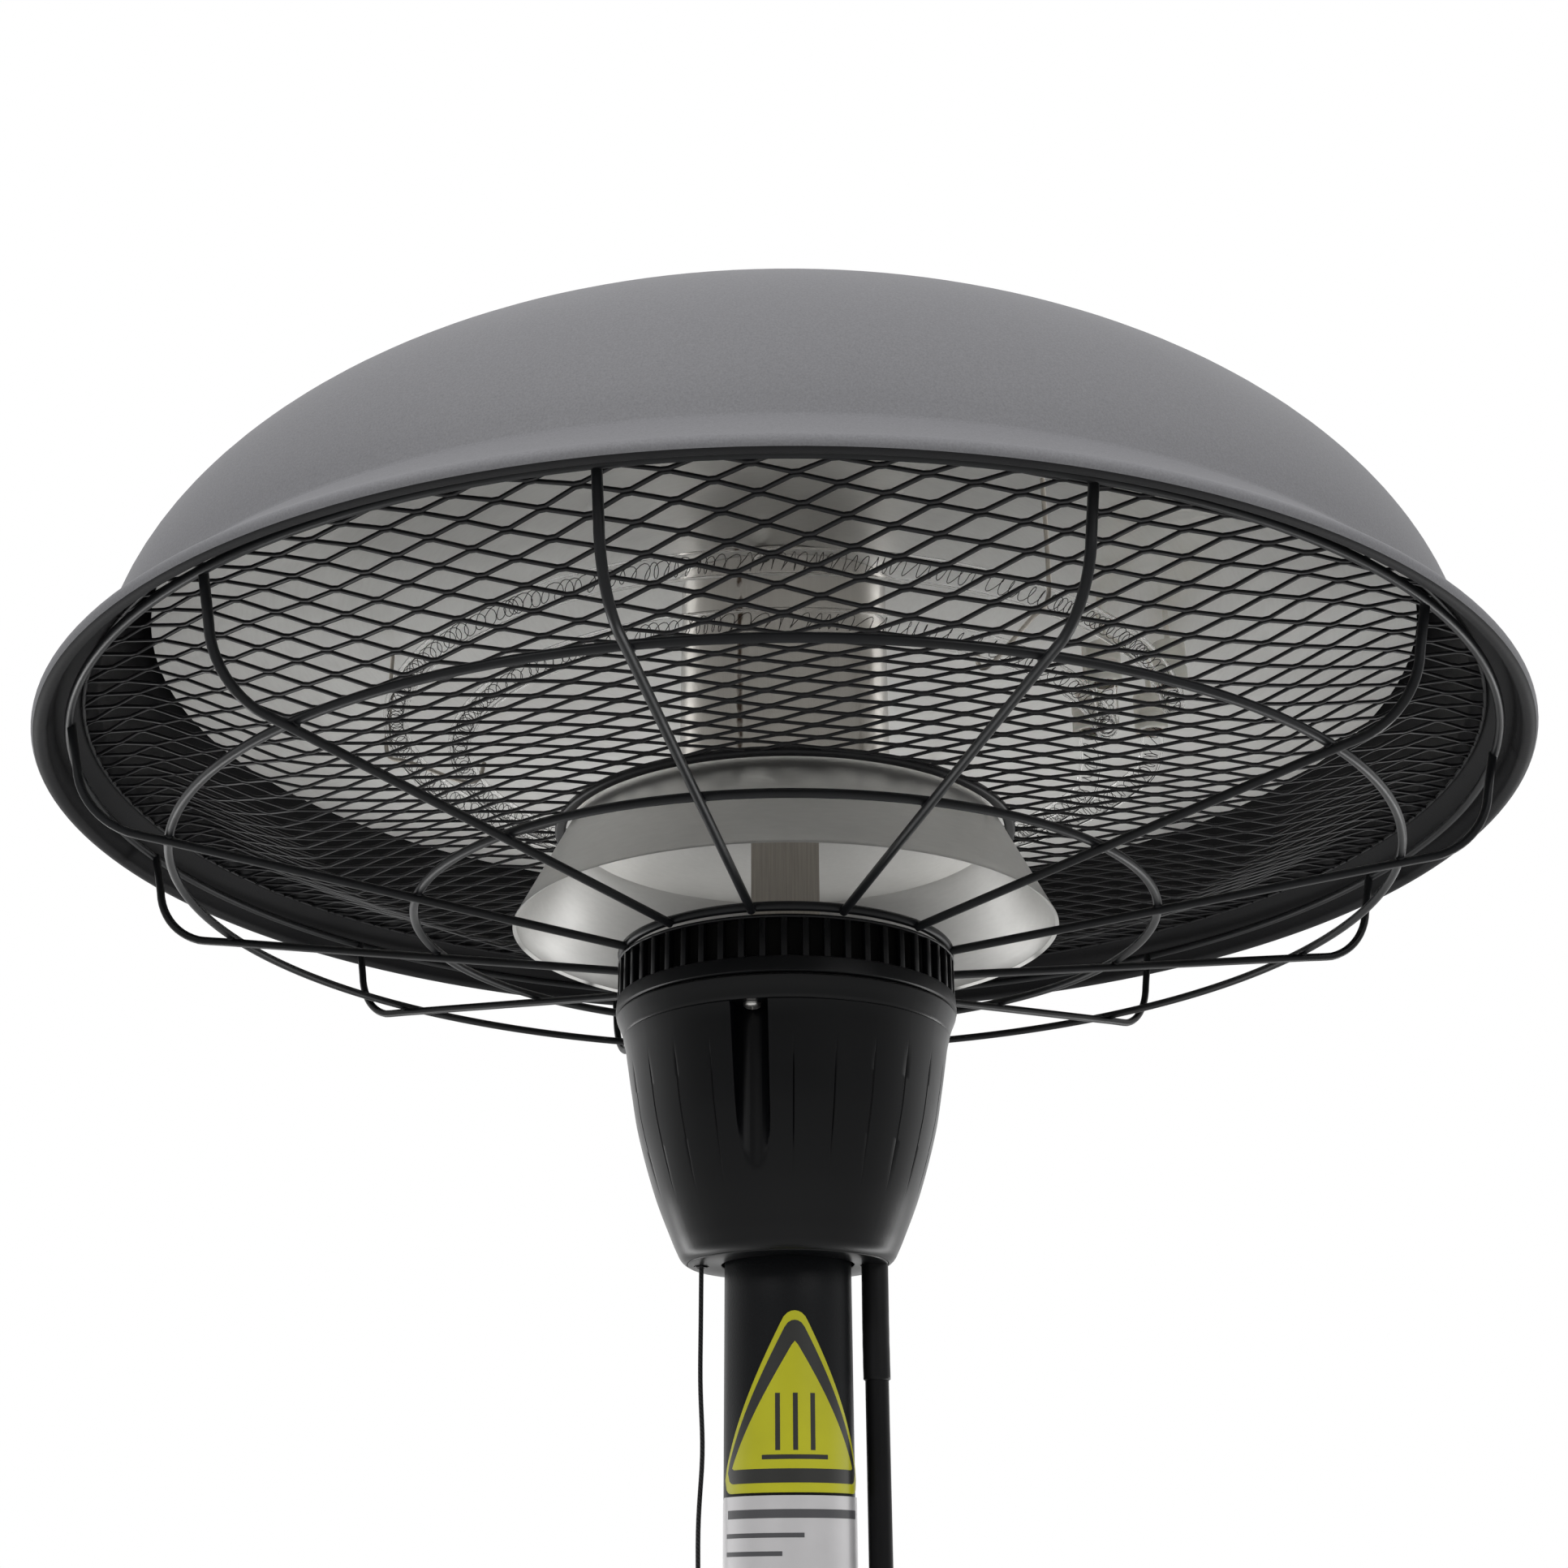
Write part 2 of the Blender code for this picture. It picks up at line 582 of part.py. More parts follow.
def make_stem():
    sx, sy = STEM_SIZE
    bottom, top = SOCKET_Z + 0.005 + GAP, RIM_Z + CUP_TOP_Z - REFLECTOR_T - GAP
    stem = box("head_stem", (-sx / 2, -sy / 2, bottom), (sx / 2, sy / 2, top), "steel")
    cap = 0.003
    inside = box("inside", (-sx / 2 + STEM_WALL, -sy / 2 + STEM_WALL, bottom - 0.01),
                 (sx / 2 - STEM_WALL, sy / 2 - STEM_WALL, top - cap))
    boolean(stem, inside)
    boolean(stem, cylinder("hole", STUD_HOLE_R, 0.02, (0, 0, top), sides=12))
    inner = POST_R - POST_T
    socket = [(0.0, 0.005), (POST_R, 0.005), (POST_R, 0.0), (inner - GAP, 0.0),
              (inner - GAP, -0.040), (0.0, -0.040)]
    turned("post_socket", socket, "steel", steps=24, base=SOCKET_Z, closed=False)


# Pull switch ------------------------------------------------------------------------------
def make_pull_switch():
    (x0, x1), (y0, y1), (z0, z1) = SWITCH_BOX
    wall, lid_t = SWITCH_WALL, 0.0015
    wheel_x = CORD_X + CORD_R + GAP + WHEEL_R
    case = box("switch_case", (x0, y0, z0), (x1, y1 - lid_t - GAP, z1), "light_plastic")
    boolean(case, box("room", (x0 + wall, y0 + wall, z0 + wall), (x1 - wall, y1 + 0.01, z1 - wall)))
    pin_r = 0.0012
    pin_back, pin_front = y0 + wall / 2, y1 - lid_t - 2 * GAP
    pin = cylinder("wheel_pin", pin_r, pin_front - pin_back,
                   (wheel_x, (pin_back + pin_front) / 2, WHEEL_Z), (0, 1, 0), sides=10)
    boolean(case, pin, "UNION")
    boolean(case, cylinder("cord_hole", 0.0016, 0.01, (CORD_X, 0, z0), sides=10))
    box("switch_lid", (x0, y1 - lid_t, z0), (x1, y1, z1), "light_plastic")

    half, rim, groove = 0.0024, WHEEL_R - 0.0001, WHEEL_R - 0.0008
    bore = pin_r + GAP
    profile = [(bore, half), (rim, half), (groove, 0.0), (rim, -half), (bore, -half)]
    wheel = turned("pull_wheel", profile, "light_plastic", steps=24, base=0.0)
    wheel.rotation_euler = (pi / 2, 0, 0)
    wheel.location = (wheel_x, 0.0, WHEEL_Z)
    turns, per_turn, spring_r, spring_wire = 2.5, 10, 0.0026, 0.0003
    coil = []
    for i in range(int(turns * per_turn) + 1):
        a = 2 * pi * i / per_turn
        y = y0 + wall + 0.0009 + 0.0012 * i / per_turn
        coil.append((wheel_x + spring_r * cos(a), y, WHEEL_Z + spring_r * sin(a)))
    wire("wheel_spring", coil, spring_wire, "steel", resolution=0)

    length = WHEEL_Z - CORD_END_Z
    count = 24
    cord = [(CORD_X, 0.0, WHEEL_Z - length * i / count) for i in range(count + 1)]
    wire("pull_cord", cord, CORD_R, "cord_fibre")
    knob = [(0.0, -GAP), (0.0030, -GAP), (0.0042, -0.003), (0.0048, -0.010), (0.0070, -0.020),
            (0.0078, -0.026), (0.0066, -0.030), (0.0, -0.031)]
    turned("pull_knob", knob, "housing_plastic", steps=20, base=CORD_END_Z, at=(CORD_X, 0.0),
           closed=False)


# Other electrical parts in the head -------------------------------------------------------
def make_electrics():
    x0, x1, y0, y1 = 0.008, 0.024, -0.040, -0.026
    z0, z1, wall = RIM_Z - 0.150, RIM_Z - 0.122, 0.0012
    case = box("tilt_case", (x0, y0, z0), (x1, y1, z1), "light_plastic")
    boolean(case, box("room", (x0 - 0.01, y0 + wall, z0 + wall), (x1 - wall, y1 - wall, z1 - wall)))
    mid_x, mid_y, hinge_z = (x0 + x1) / 2, (y0 + y1) / 2, z1 - 0.005
    pin = cylinder("tilt_pin", 0.0009, x1 - x0 - wall / 2, ((x0 + x1 - wall / 2) / 2, mid_y, hinge_z),
                   (1, 0, 0), sides=10)
    boolean(case, pin, "UNION")
    bob = cylinder("tilt_pendulum", 0.0022, 0.006, (0, 0, -0.0140), material="steel", sides=14)
    rod = box("rod", (-0.0012, -0.0006, -0.0125), (0.0012, 0.0006, 0.0))
    eye = cylinder("eye", 0.0022, 0.0024, (0, 0, 0), (1, 0, 0), sides=12)
    for piece in (bob, rod, eye):
        piece.location = (mid_x, mid_y, hinge_z)
    boolean(bob, rod, "UNION")
    boolean(bob, eye, "UNION")
    bore = cylinder("bore", 0.0012, 0.01, (0, 0, 0), (1, 0, 0), sides=12)
    bore.location = (mid_x, mid_y, hinge_z)
    boolean(bob, bore)

    block = box("terminal_block", (-0.013, 0.022, RIM_Z - 0.152), (0.013, 0.036, RIM_Z - 0.136),
                "light_plastic")
    ways = [cylinder("way", 0.0021, 0.03, (x, 0.029, RIM_Z - 0.146), (0, 1, 0), sides=10)
            for x in (-0.008, 0.0, 0.008)]
    boolean(block, joined("wire_ways", ways))
    cap = [(0.0, 0.0), (0.0085, 0.0), (0.0085, -0.0015), (0.0070, -0.0015), (0.0070, -0.0100), (0.0, -0.0100)]
    turned("thermal_cutout", cap, "light_plastic", steps=18, closed=False,
           base=RIM_Z + CUP_TOP_Z - REFLECTOR_T - GAP, at=(0.030, -0.032))


# Post and base ----------------------------------------------------------------------------
def make_post():
    inner = POST_R - POST_T
    turned("upper_post", ring_profile(inner, POST_R, POST_JOINT_Z, POST_TOP_Z), "post_paint",
           steps=24, base=0.0)
    turned("lower_post", ring_profile(inner, POST_R, POST_FOOT_Z, POST_JOINT_Z - GAP), "post_paint",
           steps=24, base=0.0)
    half = 0.070
    turned("post_coupler", ring_profile(inner - GAP - 0.002, inner - GAP, POST_JOINT_Z - half,
                                        POST_JOINT_Z + half), "steel", steps=24, base=0.0)


def make_base():
    turned("base_cover", sheet_profile(list(COVER_PROFILE), COVER_T), "post_paint", steps=30, base=0.0)
    trim = [(POST_R + GAP, 0.0910), (0.0272, 0.0905), (0.0330, 0.0785), (0.0360, 0.0766), (POST_R + GAP, 0.0766)]
    turned("cover_trim_ring", trim, "housing_plastic", steps=28, base=0.0)
    pad_t = 0.004
    turned("base_foot_pad", [(0.0, pad_t), (0.205, pad_t), (0.205, 0.0), (0.0, 0.0)], "cable_rubber",
           steps=40, base=0.0, closed=False)
    weight_low, weight_high = pad_t + GAP, 0.0420
    weight = [(0.0, weight_high), (WEIGHT_R - 0.006, weight_high), (WEIGHT_R, weight_high - 0.006),
              (WEIGHT_R, weight_low), (0.0, weight_low)]
    turned("base_weight", weight, "concrete", steps=40, base=0.0, closed=False)
    plate_low = weight_high + GAP
    plate_high = plate_low + 0.006
    sleeve_top = plate_high + 0.020
    flange = [(POST_R + GAP, sleeve_top), (POST_R + 0.0010, sleeve_top), (POST_R + 0.0010, plate_high),
              (0.075, plate_high), (0.075, plate_low), (0.0, plate_low), (0.0, POST_FOOT_Z - 0.001),
              (POST_R + GAP, POST_FOOT_Z - 0.001)]
    turned("base_flange", flange, "steel", steps=24, base=0.0, closed=False)


# Labels -----------------------------------------------------------------------------------
def wrapped(name, outline, material, face_r, thickness, turn):
    """A thin label, cut from a flat strip and wrapped round the post. Outline in (along, height)."""
    half = max(abs(p[0]) for p in outline)
    low, high = min(p[1] for p in outline), max(p[1] for p in outline)
    cells = 16
    bm = bmesh.new()
    bmesh.ops.create_grid(bm, x_segments=cells, y_segments=1, size=0.5)
    mesh = bpy.data.meshes.new(name)
    bm.to_mesh(mesh)
    bm.free()
    strip = mesh_object(name, mesh)
    margin = 0.001
    strip.data.transform(Matrix.LocRotScale(Vector((0, 0, (low + high) / 2)), Matrix.Rotation(pi / 2, 3, "X"),
                                            Vector((2 * half + margin, high - low + margin, 1))))
    solid = strip.modifiers.new("solid", "SOLIDIFY")
    solid.thickness = thickness
    solid.offset = 0.0
    curve = bpy.data.curves.new("outline", "CURVE")
    curve.dimensions = "2D"
    curve.fill_mode = "BOTH"
    curve.extrude = 0.005
    spline = curve.splines.new("POLY")
    spline.points.add(len(outline) - 1)
    for point, (x, z) in zip(spline.points, outline):
        point.co = (x, z, 0, 1)
    spline.use_cyclic_u = True
    shape = bpy.data.objects.new("outline", curve)
    bpy.context.scene.collection.objects.link(shape)
    shape = as_mesh(shape, "outline", material)
    shape.data.transform(Matrix.Rotation(pi / 2, 4, "X"))
    boolean(strip, shape, "INTERSECT")
    graph = bpy.context.evaluated_depsgraph_get()
    graph.update()
    flat = bpy.data.meshes.new_from_object(strip.evaluated_get(graph))
    bpy.data.objects.remove(strip)
    bpy.data.objects.remove(shape)
    for vertex in flat.vertices:
        along, out, height = vertex.co.x, -vertex.co.y, vertex.co.z
        angle = turn + along / face_r
        radius = face_r + out
        vertex.co = around(angle, radius, height)
    return dress(mesh_object(name, flat), name, material)


def make_labels():
    face = POST_R + GAP + 0.0002
    turn = radians(6)
    apex, base = RIM_Z - 0.2020, RIM_Z - 0.2660
    half_side, round_r = 0.0365, 0.005
    corners = [((0.0, apex - round_r), 30, 150), ((-half_side + round_r * 1.73, base + round_r), 150, 270),
               ((half_side - round_r * 1.73, base + round_r), 270, 390)]
    triangle = [p for centre, start, end in corners for p in arc(centre, round_r, start, end, 4)]
    wrapped("warning_label", triangle, "label_yellow", face, 0.0003, turn)
    top, bottom, half, corner = base - 0.0010, base - 0.0860, 0.0360, 0.002
    spots = [((half - corner, top - corner), 0), ((-half + corner, top - corner), 90),
             ((-half + corner, bottom + corner), 180), ((half - corner, bottom + corner), 270)]
    plate = [p for centre, start in spots for p in arc(centre, corner, start, start + 90, 2)]
    wrapped("rating_label", plate, "label_silver", face, 0.0003, turn)


# Supply cable -----------------------------------------------------------------------------
CABLE_ROUTE = (
    (CABLE_X, 0.000, RIM_Z - 0.1830), (CABLE_X, 0.000, RIM_Z - 0.2260), (CABLE_X, 0.000, 1.450),
    (CABLE_X, 0.000, 0.950), (CABLE_X, 0.000, 0.450), (CABLE_X, 0.000, 0.300),
    (0.0400, 0.004, 0.210), (0.0580, 0.022, 0.135), (0.0860, 0.055, 0.0915), (0.1130, 0.098, 0.0690),
    (0.1320, 0.140, 0.0600), (0.1440, 0.172, 0.0520), (0.1490, 0.197, 0.0390), (0.1470, 0.221, 0.0220),
    (0.1380, 0.240, 0.0105), (0.1160, 0.252, 0.0066), (0.0850, 0.2555, 0.0062), (0.0500, 0.2545, 0.0062),
    (0.0150, 0.2535, 0.0062),
)


def make_cable():
    route = smooth_route(CABLE_ROUTE, 0.0330)
    wire("power_cable", route, CABLE_R, "cable_rubber")
    turned("cable_sleeve", ring_profile(CABLE_R + GAP, SLEEVE_R, -0.2250, -0.1500), "cable_rubber",
           steps=16, at=(CABLE_X, 0.0))
    low, high = COIL_Z
    corner = 0.005
    inner, outer = COIL_MID_R - COIL_HALF_W, COIL_MID_R + COIL_HALF_W
    section = [(inner, high - corner), (inner + corner, high), (outer - corner, high), (outer, high - corner),
               (outer, low + corner), (outer - corner, low), (inner + corner, low), (inner, low + corner)]
    turned("cable_coil", section, "cable_rubber", steps=24, base=0.0, at=COIL_AT)
    band_t, half_w = 0.0010, 0.0025
    angle = radians(118)
    frame = Matrix.Translation((*COIL_AT, 0)) @ Matrix.Rotation(angle, 4, "Z")
    inside, outside, above = inner - 3 * GAP, outer + GAP, high + GAP
    tie = box("cable_tie", (inside - band_t, -half_w, 0.0), (outside + band_t, half_w, above + band_t))
    hole = box("hole", (inside, -0.01, low - GAP), (outside, 0.01, above))
    tie.data.transform(frame)
    hole.data.transform(frame)
    dress(tie, "cable_tie", "housing_plastic")
    boolean(tie, hole)


def make_clips():
    for number, height in enumerate((1.450, 0.950, 0.450), start=1):
        bore, outer, half = CABLE_R + GAP, CABLE_R + GAP + 0.0016, 0.006
        clip = turned(f"cable_clip_{number}", ring_profile(bore, outer, -half, half), "housing_plastic",
                      steps=16, base=height, at=(CABLE_X, 0.0))
        foot = box("foot", (POST_R + GAP, -0.005, height - half), (CABLE_X - bore - 0.0008, 0.005, height + half))
        boolean(clip, foot, "UNION")


def make_plug():
    """A round two-pin earthed plug lying on the floor beside the coil, pins pointing along its +X."""
    height = 0.0190
    relief = [(0.0048, 0.000), (0.0058, 0.008), (0.0066, 0.030), (0.0110, 0.036)]
    body = [(0.0150, 0.044), (0.0188, 0.054), (0.0188, 0.068), (0.0178, 0.070)]
    profile = [(0.0, 0.0), *relief, *body, (0.0, 0.070)]
    plug = turned("plug", profile, "cable_rubber", steps=20, base=0.0, closed=False)
    pins = [cylinder("pin", 0.0024, 0.0210, (0.0, side * 0.0095, 0.0795), sides=10) for side in (-1, 1)]
    pins = joined("plug_pins", pins)
    for piece in (plug, pins):
        piece.rotation_euler = (0.0, pi / 2, PLUG_TURN)
        piece.location = (*PLUG_AT, height)
    boolean(plug, pins, "UNION")


make_shade()
make_axis_stack()
make_reflectors()
make_elements()
make_hangers()
make_mesh_guard()
make_wire_guard()
make_collar()
make_housing()
make_stem()
make_pull_switch()
make_electrics()
make_post()
make_base()
make_labels()
make_cable()
make_clips()
make_plug()
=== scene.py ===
"""The looks of the patio heater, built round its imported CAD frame.

Metres, +Z up, the floor at z 0. Angles round the heater's axis are counted from -Y, the side
that the label faces, towards +X. Heights in the head are counted from RIM_Z.
"""
import json
import random
from math import acos, cos, hypot, pi, radians, sin

import bmesh
import bpy
from mathutils import Matrix, Vector
from mathutils.geometry import interpolate_bezier


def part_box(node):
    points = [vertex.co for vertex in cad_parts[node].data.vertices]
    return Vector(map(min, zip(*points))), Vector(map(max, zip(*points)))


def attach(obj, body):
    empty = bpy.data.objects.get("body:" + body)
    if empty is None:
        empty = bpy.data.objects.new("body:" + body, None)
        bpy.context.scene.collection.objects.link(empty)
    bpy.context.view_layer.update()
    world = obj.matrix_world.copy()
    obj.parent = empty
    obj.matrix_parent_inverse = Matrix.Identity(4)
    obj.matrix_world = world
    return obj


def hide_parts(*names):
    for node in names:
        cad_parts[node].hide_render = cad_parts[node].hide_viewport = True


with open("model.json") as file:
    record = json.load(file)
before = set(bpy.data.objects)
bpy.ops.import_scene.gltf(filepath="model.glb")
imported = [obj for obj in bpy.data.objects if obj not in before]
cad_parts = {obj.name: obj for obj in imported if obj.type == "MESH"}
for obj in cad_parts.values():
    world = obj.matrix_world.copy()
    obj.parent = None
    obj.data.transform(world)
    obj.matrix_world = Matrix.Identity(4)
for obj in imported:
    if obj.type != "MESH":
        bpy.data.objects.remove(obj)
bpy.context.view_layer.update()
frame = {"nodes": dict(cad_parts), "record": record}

# Driving sizes ------------------------------------------------------------------------------
RIM_Z = 1.920               # reference plane just under the shade's lip
POST_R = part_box("upper_post")[1].x
BODY_OF = {node: body for body, nodes in frame["record"]["behaviour"]["bodies"].items() for node in nodes}
SLOT_OF = {part["node"]: part["material_slot"] for part in frame["record"]["subparts"]}

SHADE_R = 0.3002
DOME_R, DOME_H, DOME_SPRING = 0.2795, 0.1525, 0.0265
CROWN_LIFT = RIM_Z + DOME_SPRING + DOME_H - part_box("shade")[1].z   # the crown above the solid model's
BEAD_R, BEAD_Z = 0.0030, 0.0048       # the rolled lip
SHEET_T = 0.0012
STUD_HOLE_R = 0.0046
DISH_R, DISH_EDGE_Z, DISH_TOP_Z = 0.262, 0.060, 0.109
COLUMN_R = 0.045
OUTER_RING = (0.1635, 0.038)
INNER_RING = (0.1365, 0.028)
TUBE_R, TUBE_WALL, LEG_BEND, LEG_TOP_Z = 0.005, 0.001, 0.014, 0.060
END_SPREAD = radians(9)
WIRE_R = 0.00175
GUARD_LIFT = 2 * WIRE_R - 0.0006
GUARD_COUNT, GUARD_TURN = 12, radians(19.5)
GUARD_RINGS = ((0.246, -0.032), (0.151, -0.045))
GUARD_TOP_RING = (0.2868, 0.0078)
GUARD_BEND_R, GUARD_WALL_R = 0.029, 0.2822       # where the radial wires turn up to the top ring
GUARD_HUB_R = 0.0668
GUARD_HUB_WIRE_R = 0.0019


# Shape helpers ------------------------------------------------------------------------------
def around(angle, radius, height=0.0):
    """A point at an angle counted from -Y towards +X."""
    return Vector((radius * sin(angle), -radius * cos(angle), height))


def arc(centre, radius, start, end, steps):
    """Points on an arc in the (radius, height) plane; angles in degrees."""
    turns = [radians(start + (end - start) * i / steps) for i in range(steps + 1)]
    return [(centre[0] + radius * cos(a), centre[1] + radius * sin(a)) for a in turns]


def smoothstep(value):
    t = min(1.0, max(0.0, value))
    return t * t * (3 - 2 * t)


def eased(keys, at):
    """The value at a place between (place, value) keys, easing from each to the next."""
    for (a, low), (b, high) in zip(keys, keys[1:]):
        if at <= b:
            return low + (high - low) * smoothstep((at - a) / (b - a))
    return keys[-1][1]


def smooth_route(points, spacing):
    """Evenly spaced points along a smooth curve through the given ones."""
    knots = [Vector(p) for p in points]
    fine = []
    for i in range(len(knots) - 1):
        a, b = knots[i], knots[i + 1]
        before = knots[i - 1] if i else a * 2 - b
        after = knots[i + 2] if i + 2 < len(knots) else b * 2 - a
        third = (b - a).length / 3
        go = (b - before).normalized() * third
        come = (after - a).normalized() * third
        fine += interpolate_bezier(a, a + go, b - come, b, 24)[:-1]
    fine.append(knots[-1])
    total = sum((b - a).length for a, b in zip(fine, fine[1:]))
    count = max(2, round(total / spacing))
    step, route, walked, due = total / count, [fine[0]], 0.0, total / count
    for a, b in zip(fine, fine[1:]):
        length = (b - a).length
        while walked + length >= due and len(route) < count:
            route.append(a.lerp(b, (due - walked) / length))
            due += step
        walked += length
    return route + [fine[-1]]


def smooth_outline(points, spacing):
    """A smooth curve through (radius, height) points."""
    return [(p.x, p.z) for p in smooth_route([(r, 0.0, z) for r, z in points], spacing)]


def offset_path(path, distance):
    """The path moved sideways: to its right for a positive distance."""
    moved = []
    for i, (x, z) in enumerate(path):
        before = path[max(i - 1, 0)]
        after = path[min(i + 1, len(path) - 1)]
        dx, dz = after[0] - before[0], after[1] - before[1]
        size = hypot(dx, dz)
        moved.append((x + distance * dz / size, z - distance * dx / size))
    return moved


class Shape:
    """Vertices and faces gathered from simple bodies. A face's mark is the place of its material."""

    def __init__(self):
        self.points, self.faces, self.marks = [], [], []

    def add(self, points, faces, mark=0, matrix=None):
        first = len(self.points)
        self.points += [matrix @ Vector(p) if matrix else Vector(p) for p in points]
        self.faces += [tuple(first + i for i in face) for face in faces]
        self.marks += list(mark) if isinstance(mark, (list, tuple)) else [mark] * len(faces)
        return self


def turned(outline, steps=96, closed=True, shift=None, angles=None, marks=None):
    """What an outline of (radius, height) points sweeps round the Z axis: points, faces, marks.

    shift(angle, radius, height) gives the radius that a point really has.
    """
    angles = angles or [2 * pi * i / steps for i in range(steps)]
    points, rings = [], []
    for r, z in outline:
        if r < 1e-6:
            rings.append([len(points)] * len(angles))
            points.append(Vector((0, 0, z)))
        else:
            rings.append(list(range(len(points), len(points) + len(angles))))
            points += [around(a, shift(a, r, z) if shift else r, z) for a in angles]
    faces, given = [], []
    for n, (low, high) in enumerate(zip(rings, rings[1:] + rings[:1])):
        if n == len(rings) - 1 and not closed:
            break
        for i in range(len(angles)):
            j = (i + 1) % len(angles)
            face = list(dict.fromkeys((low[i], low[j], high[j], high[i])))
            if len(face) > 2:
                faces.append(face)
                given.append(marks[n] if marks else 0)
    return points, faces, given


def soft_ring(inner, outer, bottom, top, edge):
    """A ring's outline with its four edges rounded."""
    corners = [((outer - edge, top - edge), 90), ((outer - edge, bottom + edge), 0),
               ((inner + edge, bottom + edge), -90), ((inner + edge, top - edge), -180)]
    return [p for centre, start in corners for p in arc(centre, edge, start, start - 90, 3)]


def round_rectangle(left, right, bottom, top, corner, steps):
    spots = [((right - corner, top - corner), 0), ((left + corner, top - corner), 90),
             ((left + corner, bottom + corner), 180), ((right - corner, bottom + corner), 270)]
    return [p for centre, start in spots for p in arc(centre, corner, start, start + 90, steps)]


def round_section(radius, sides):
    return [(radius * cos(2 * pi * i / sides), radius * sin(2 * pi * i / sides)) for i in range(sides)]


def swept(path, section, cyclic=False, up=None):
    """A section of (across, above) points carried along a path: points and faces.

    The section turns as little as it can, or keeps its second axis near up.
    """
    path = [Vector(p) for p in path]
    count, size = len(path), len(section)
    tangents = []
    for i, p in enumerate(path):
        before = path[i - 1] if i or cyclic else p
        after = path[(i + 1) % count] if i + 1 < count or cyclic else p
        tangents.append((after - before).normalized())
    lift = Vector(up) if up else (Vector((0, 0, 1)) if abs(tangents[0].z) < 0.9 else Vector((1, 0, 0)))
    points = []
    for p, t in zip(path, tangents):
        base = Vector(up) if up else lift
        lift = (base - t * base.dot(t)).normalized()
        side = t.cross(lift)
        points += [p + side * a + lift * b for a, b in section]
    faces = []
    for i in range(count if cyclic else count - 1):
        a, b = i * size, ((i + 1) % count) * size
        faces += [(a + k, a + (k + 1) % size, b + (k + 1) % size, b + k) for k in range(size)]
    if not cyclic:
        faces += [tuple(reversed(range(size))), tuple(range(len(points) - size, len(points)))]
    return points, faces


def block(low, high, edge):
    """A box with bevelled edges."""
    bm = bmesh.new()
    bmesh.ops.create_cube(bm, size=1.0)
    size = Vector([b - a for a, b in zip(low, high)])
    middle = Vector([(a + b) / 2 for a, b in zip(low, high)])
    bmesh.ops.transform(bm, matrix=Matrix.LocRotScale(middle, None, size), verts=bm.verts)
    bmesh.ops.bevel(bm, geom=list(bm.edges), offset=edge, segments=2, profile=0.5, affect="EDGES")
    bm.verts.index_update()
    made = [v.co.copy() for v in bm.verts], [tuple(v.index for v in f.verts) for f in bm.faces]
    bm.free()
    return made


def mesh_object(name, shape, sharp=35):
    mesh = bpy.data.meshes.new(name)
    mesh.from_pydata(shape.points, [], shape.faces)
    mesh.polygons.foreach_set("material_index", shape.marks)
    bm = bmesh.new()
    bm.from_mesh(mesh)
    bmesh.ops.recalc_face_normals(bm, faces=bm.faces)
    bm.to_mesh(mesh)
    bm.free()
    mesh.shade_smooth()
    mesh.set_sharp_from_angle(angle=radians(sharp))
    obj = bpy.data.objects.new(name, mesh)
    bpy.context.scene.collection.objects.link(obj)
    return obj


def cut(obj, tools):
    """Takes the tools' shapes out of a mesh object, one after another, and keeps the result."""
    for tool in tools:
        mod = obj.modifiers.new("cut", "BOOLEAN")
        mod.operation, mod.solver, mod.object = "DIFFERENCE", "EXACT", tool
    graph = bpy.context.evaluated_depsgraph_get()
    graph.update()
    mesh = bpy.data.meshes.new_from_object(obj.evaluated_get(graph))
    obj.modifiers.clear()
    obj.data = mesh
    mesh.set_sharp_from_angle(angle=radians(35))
    for tool in tools:
        bpy.data.objects.remove(tool)
    return obj


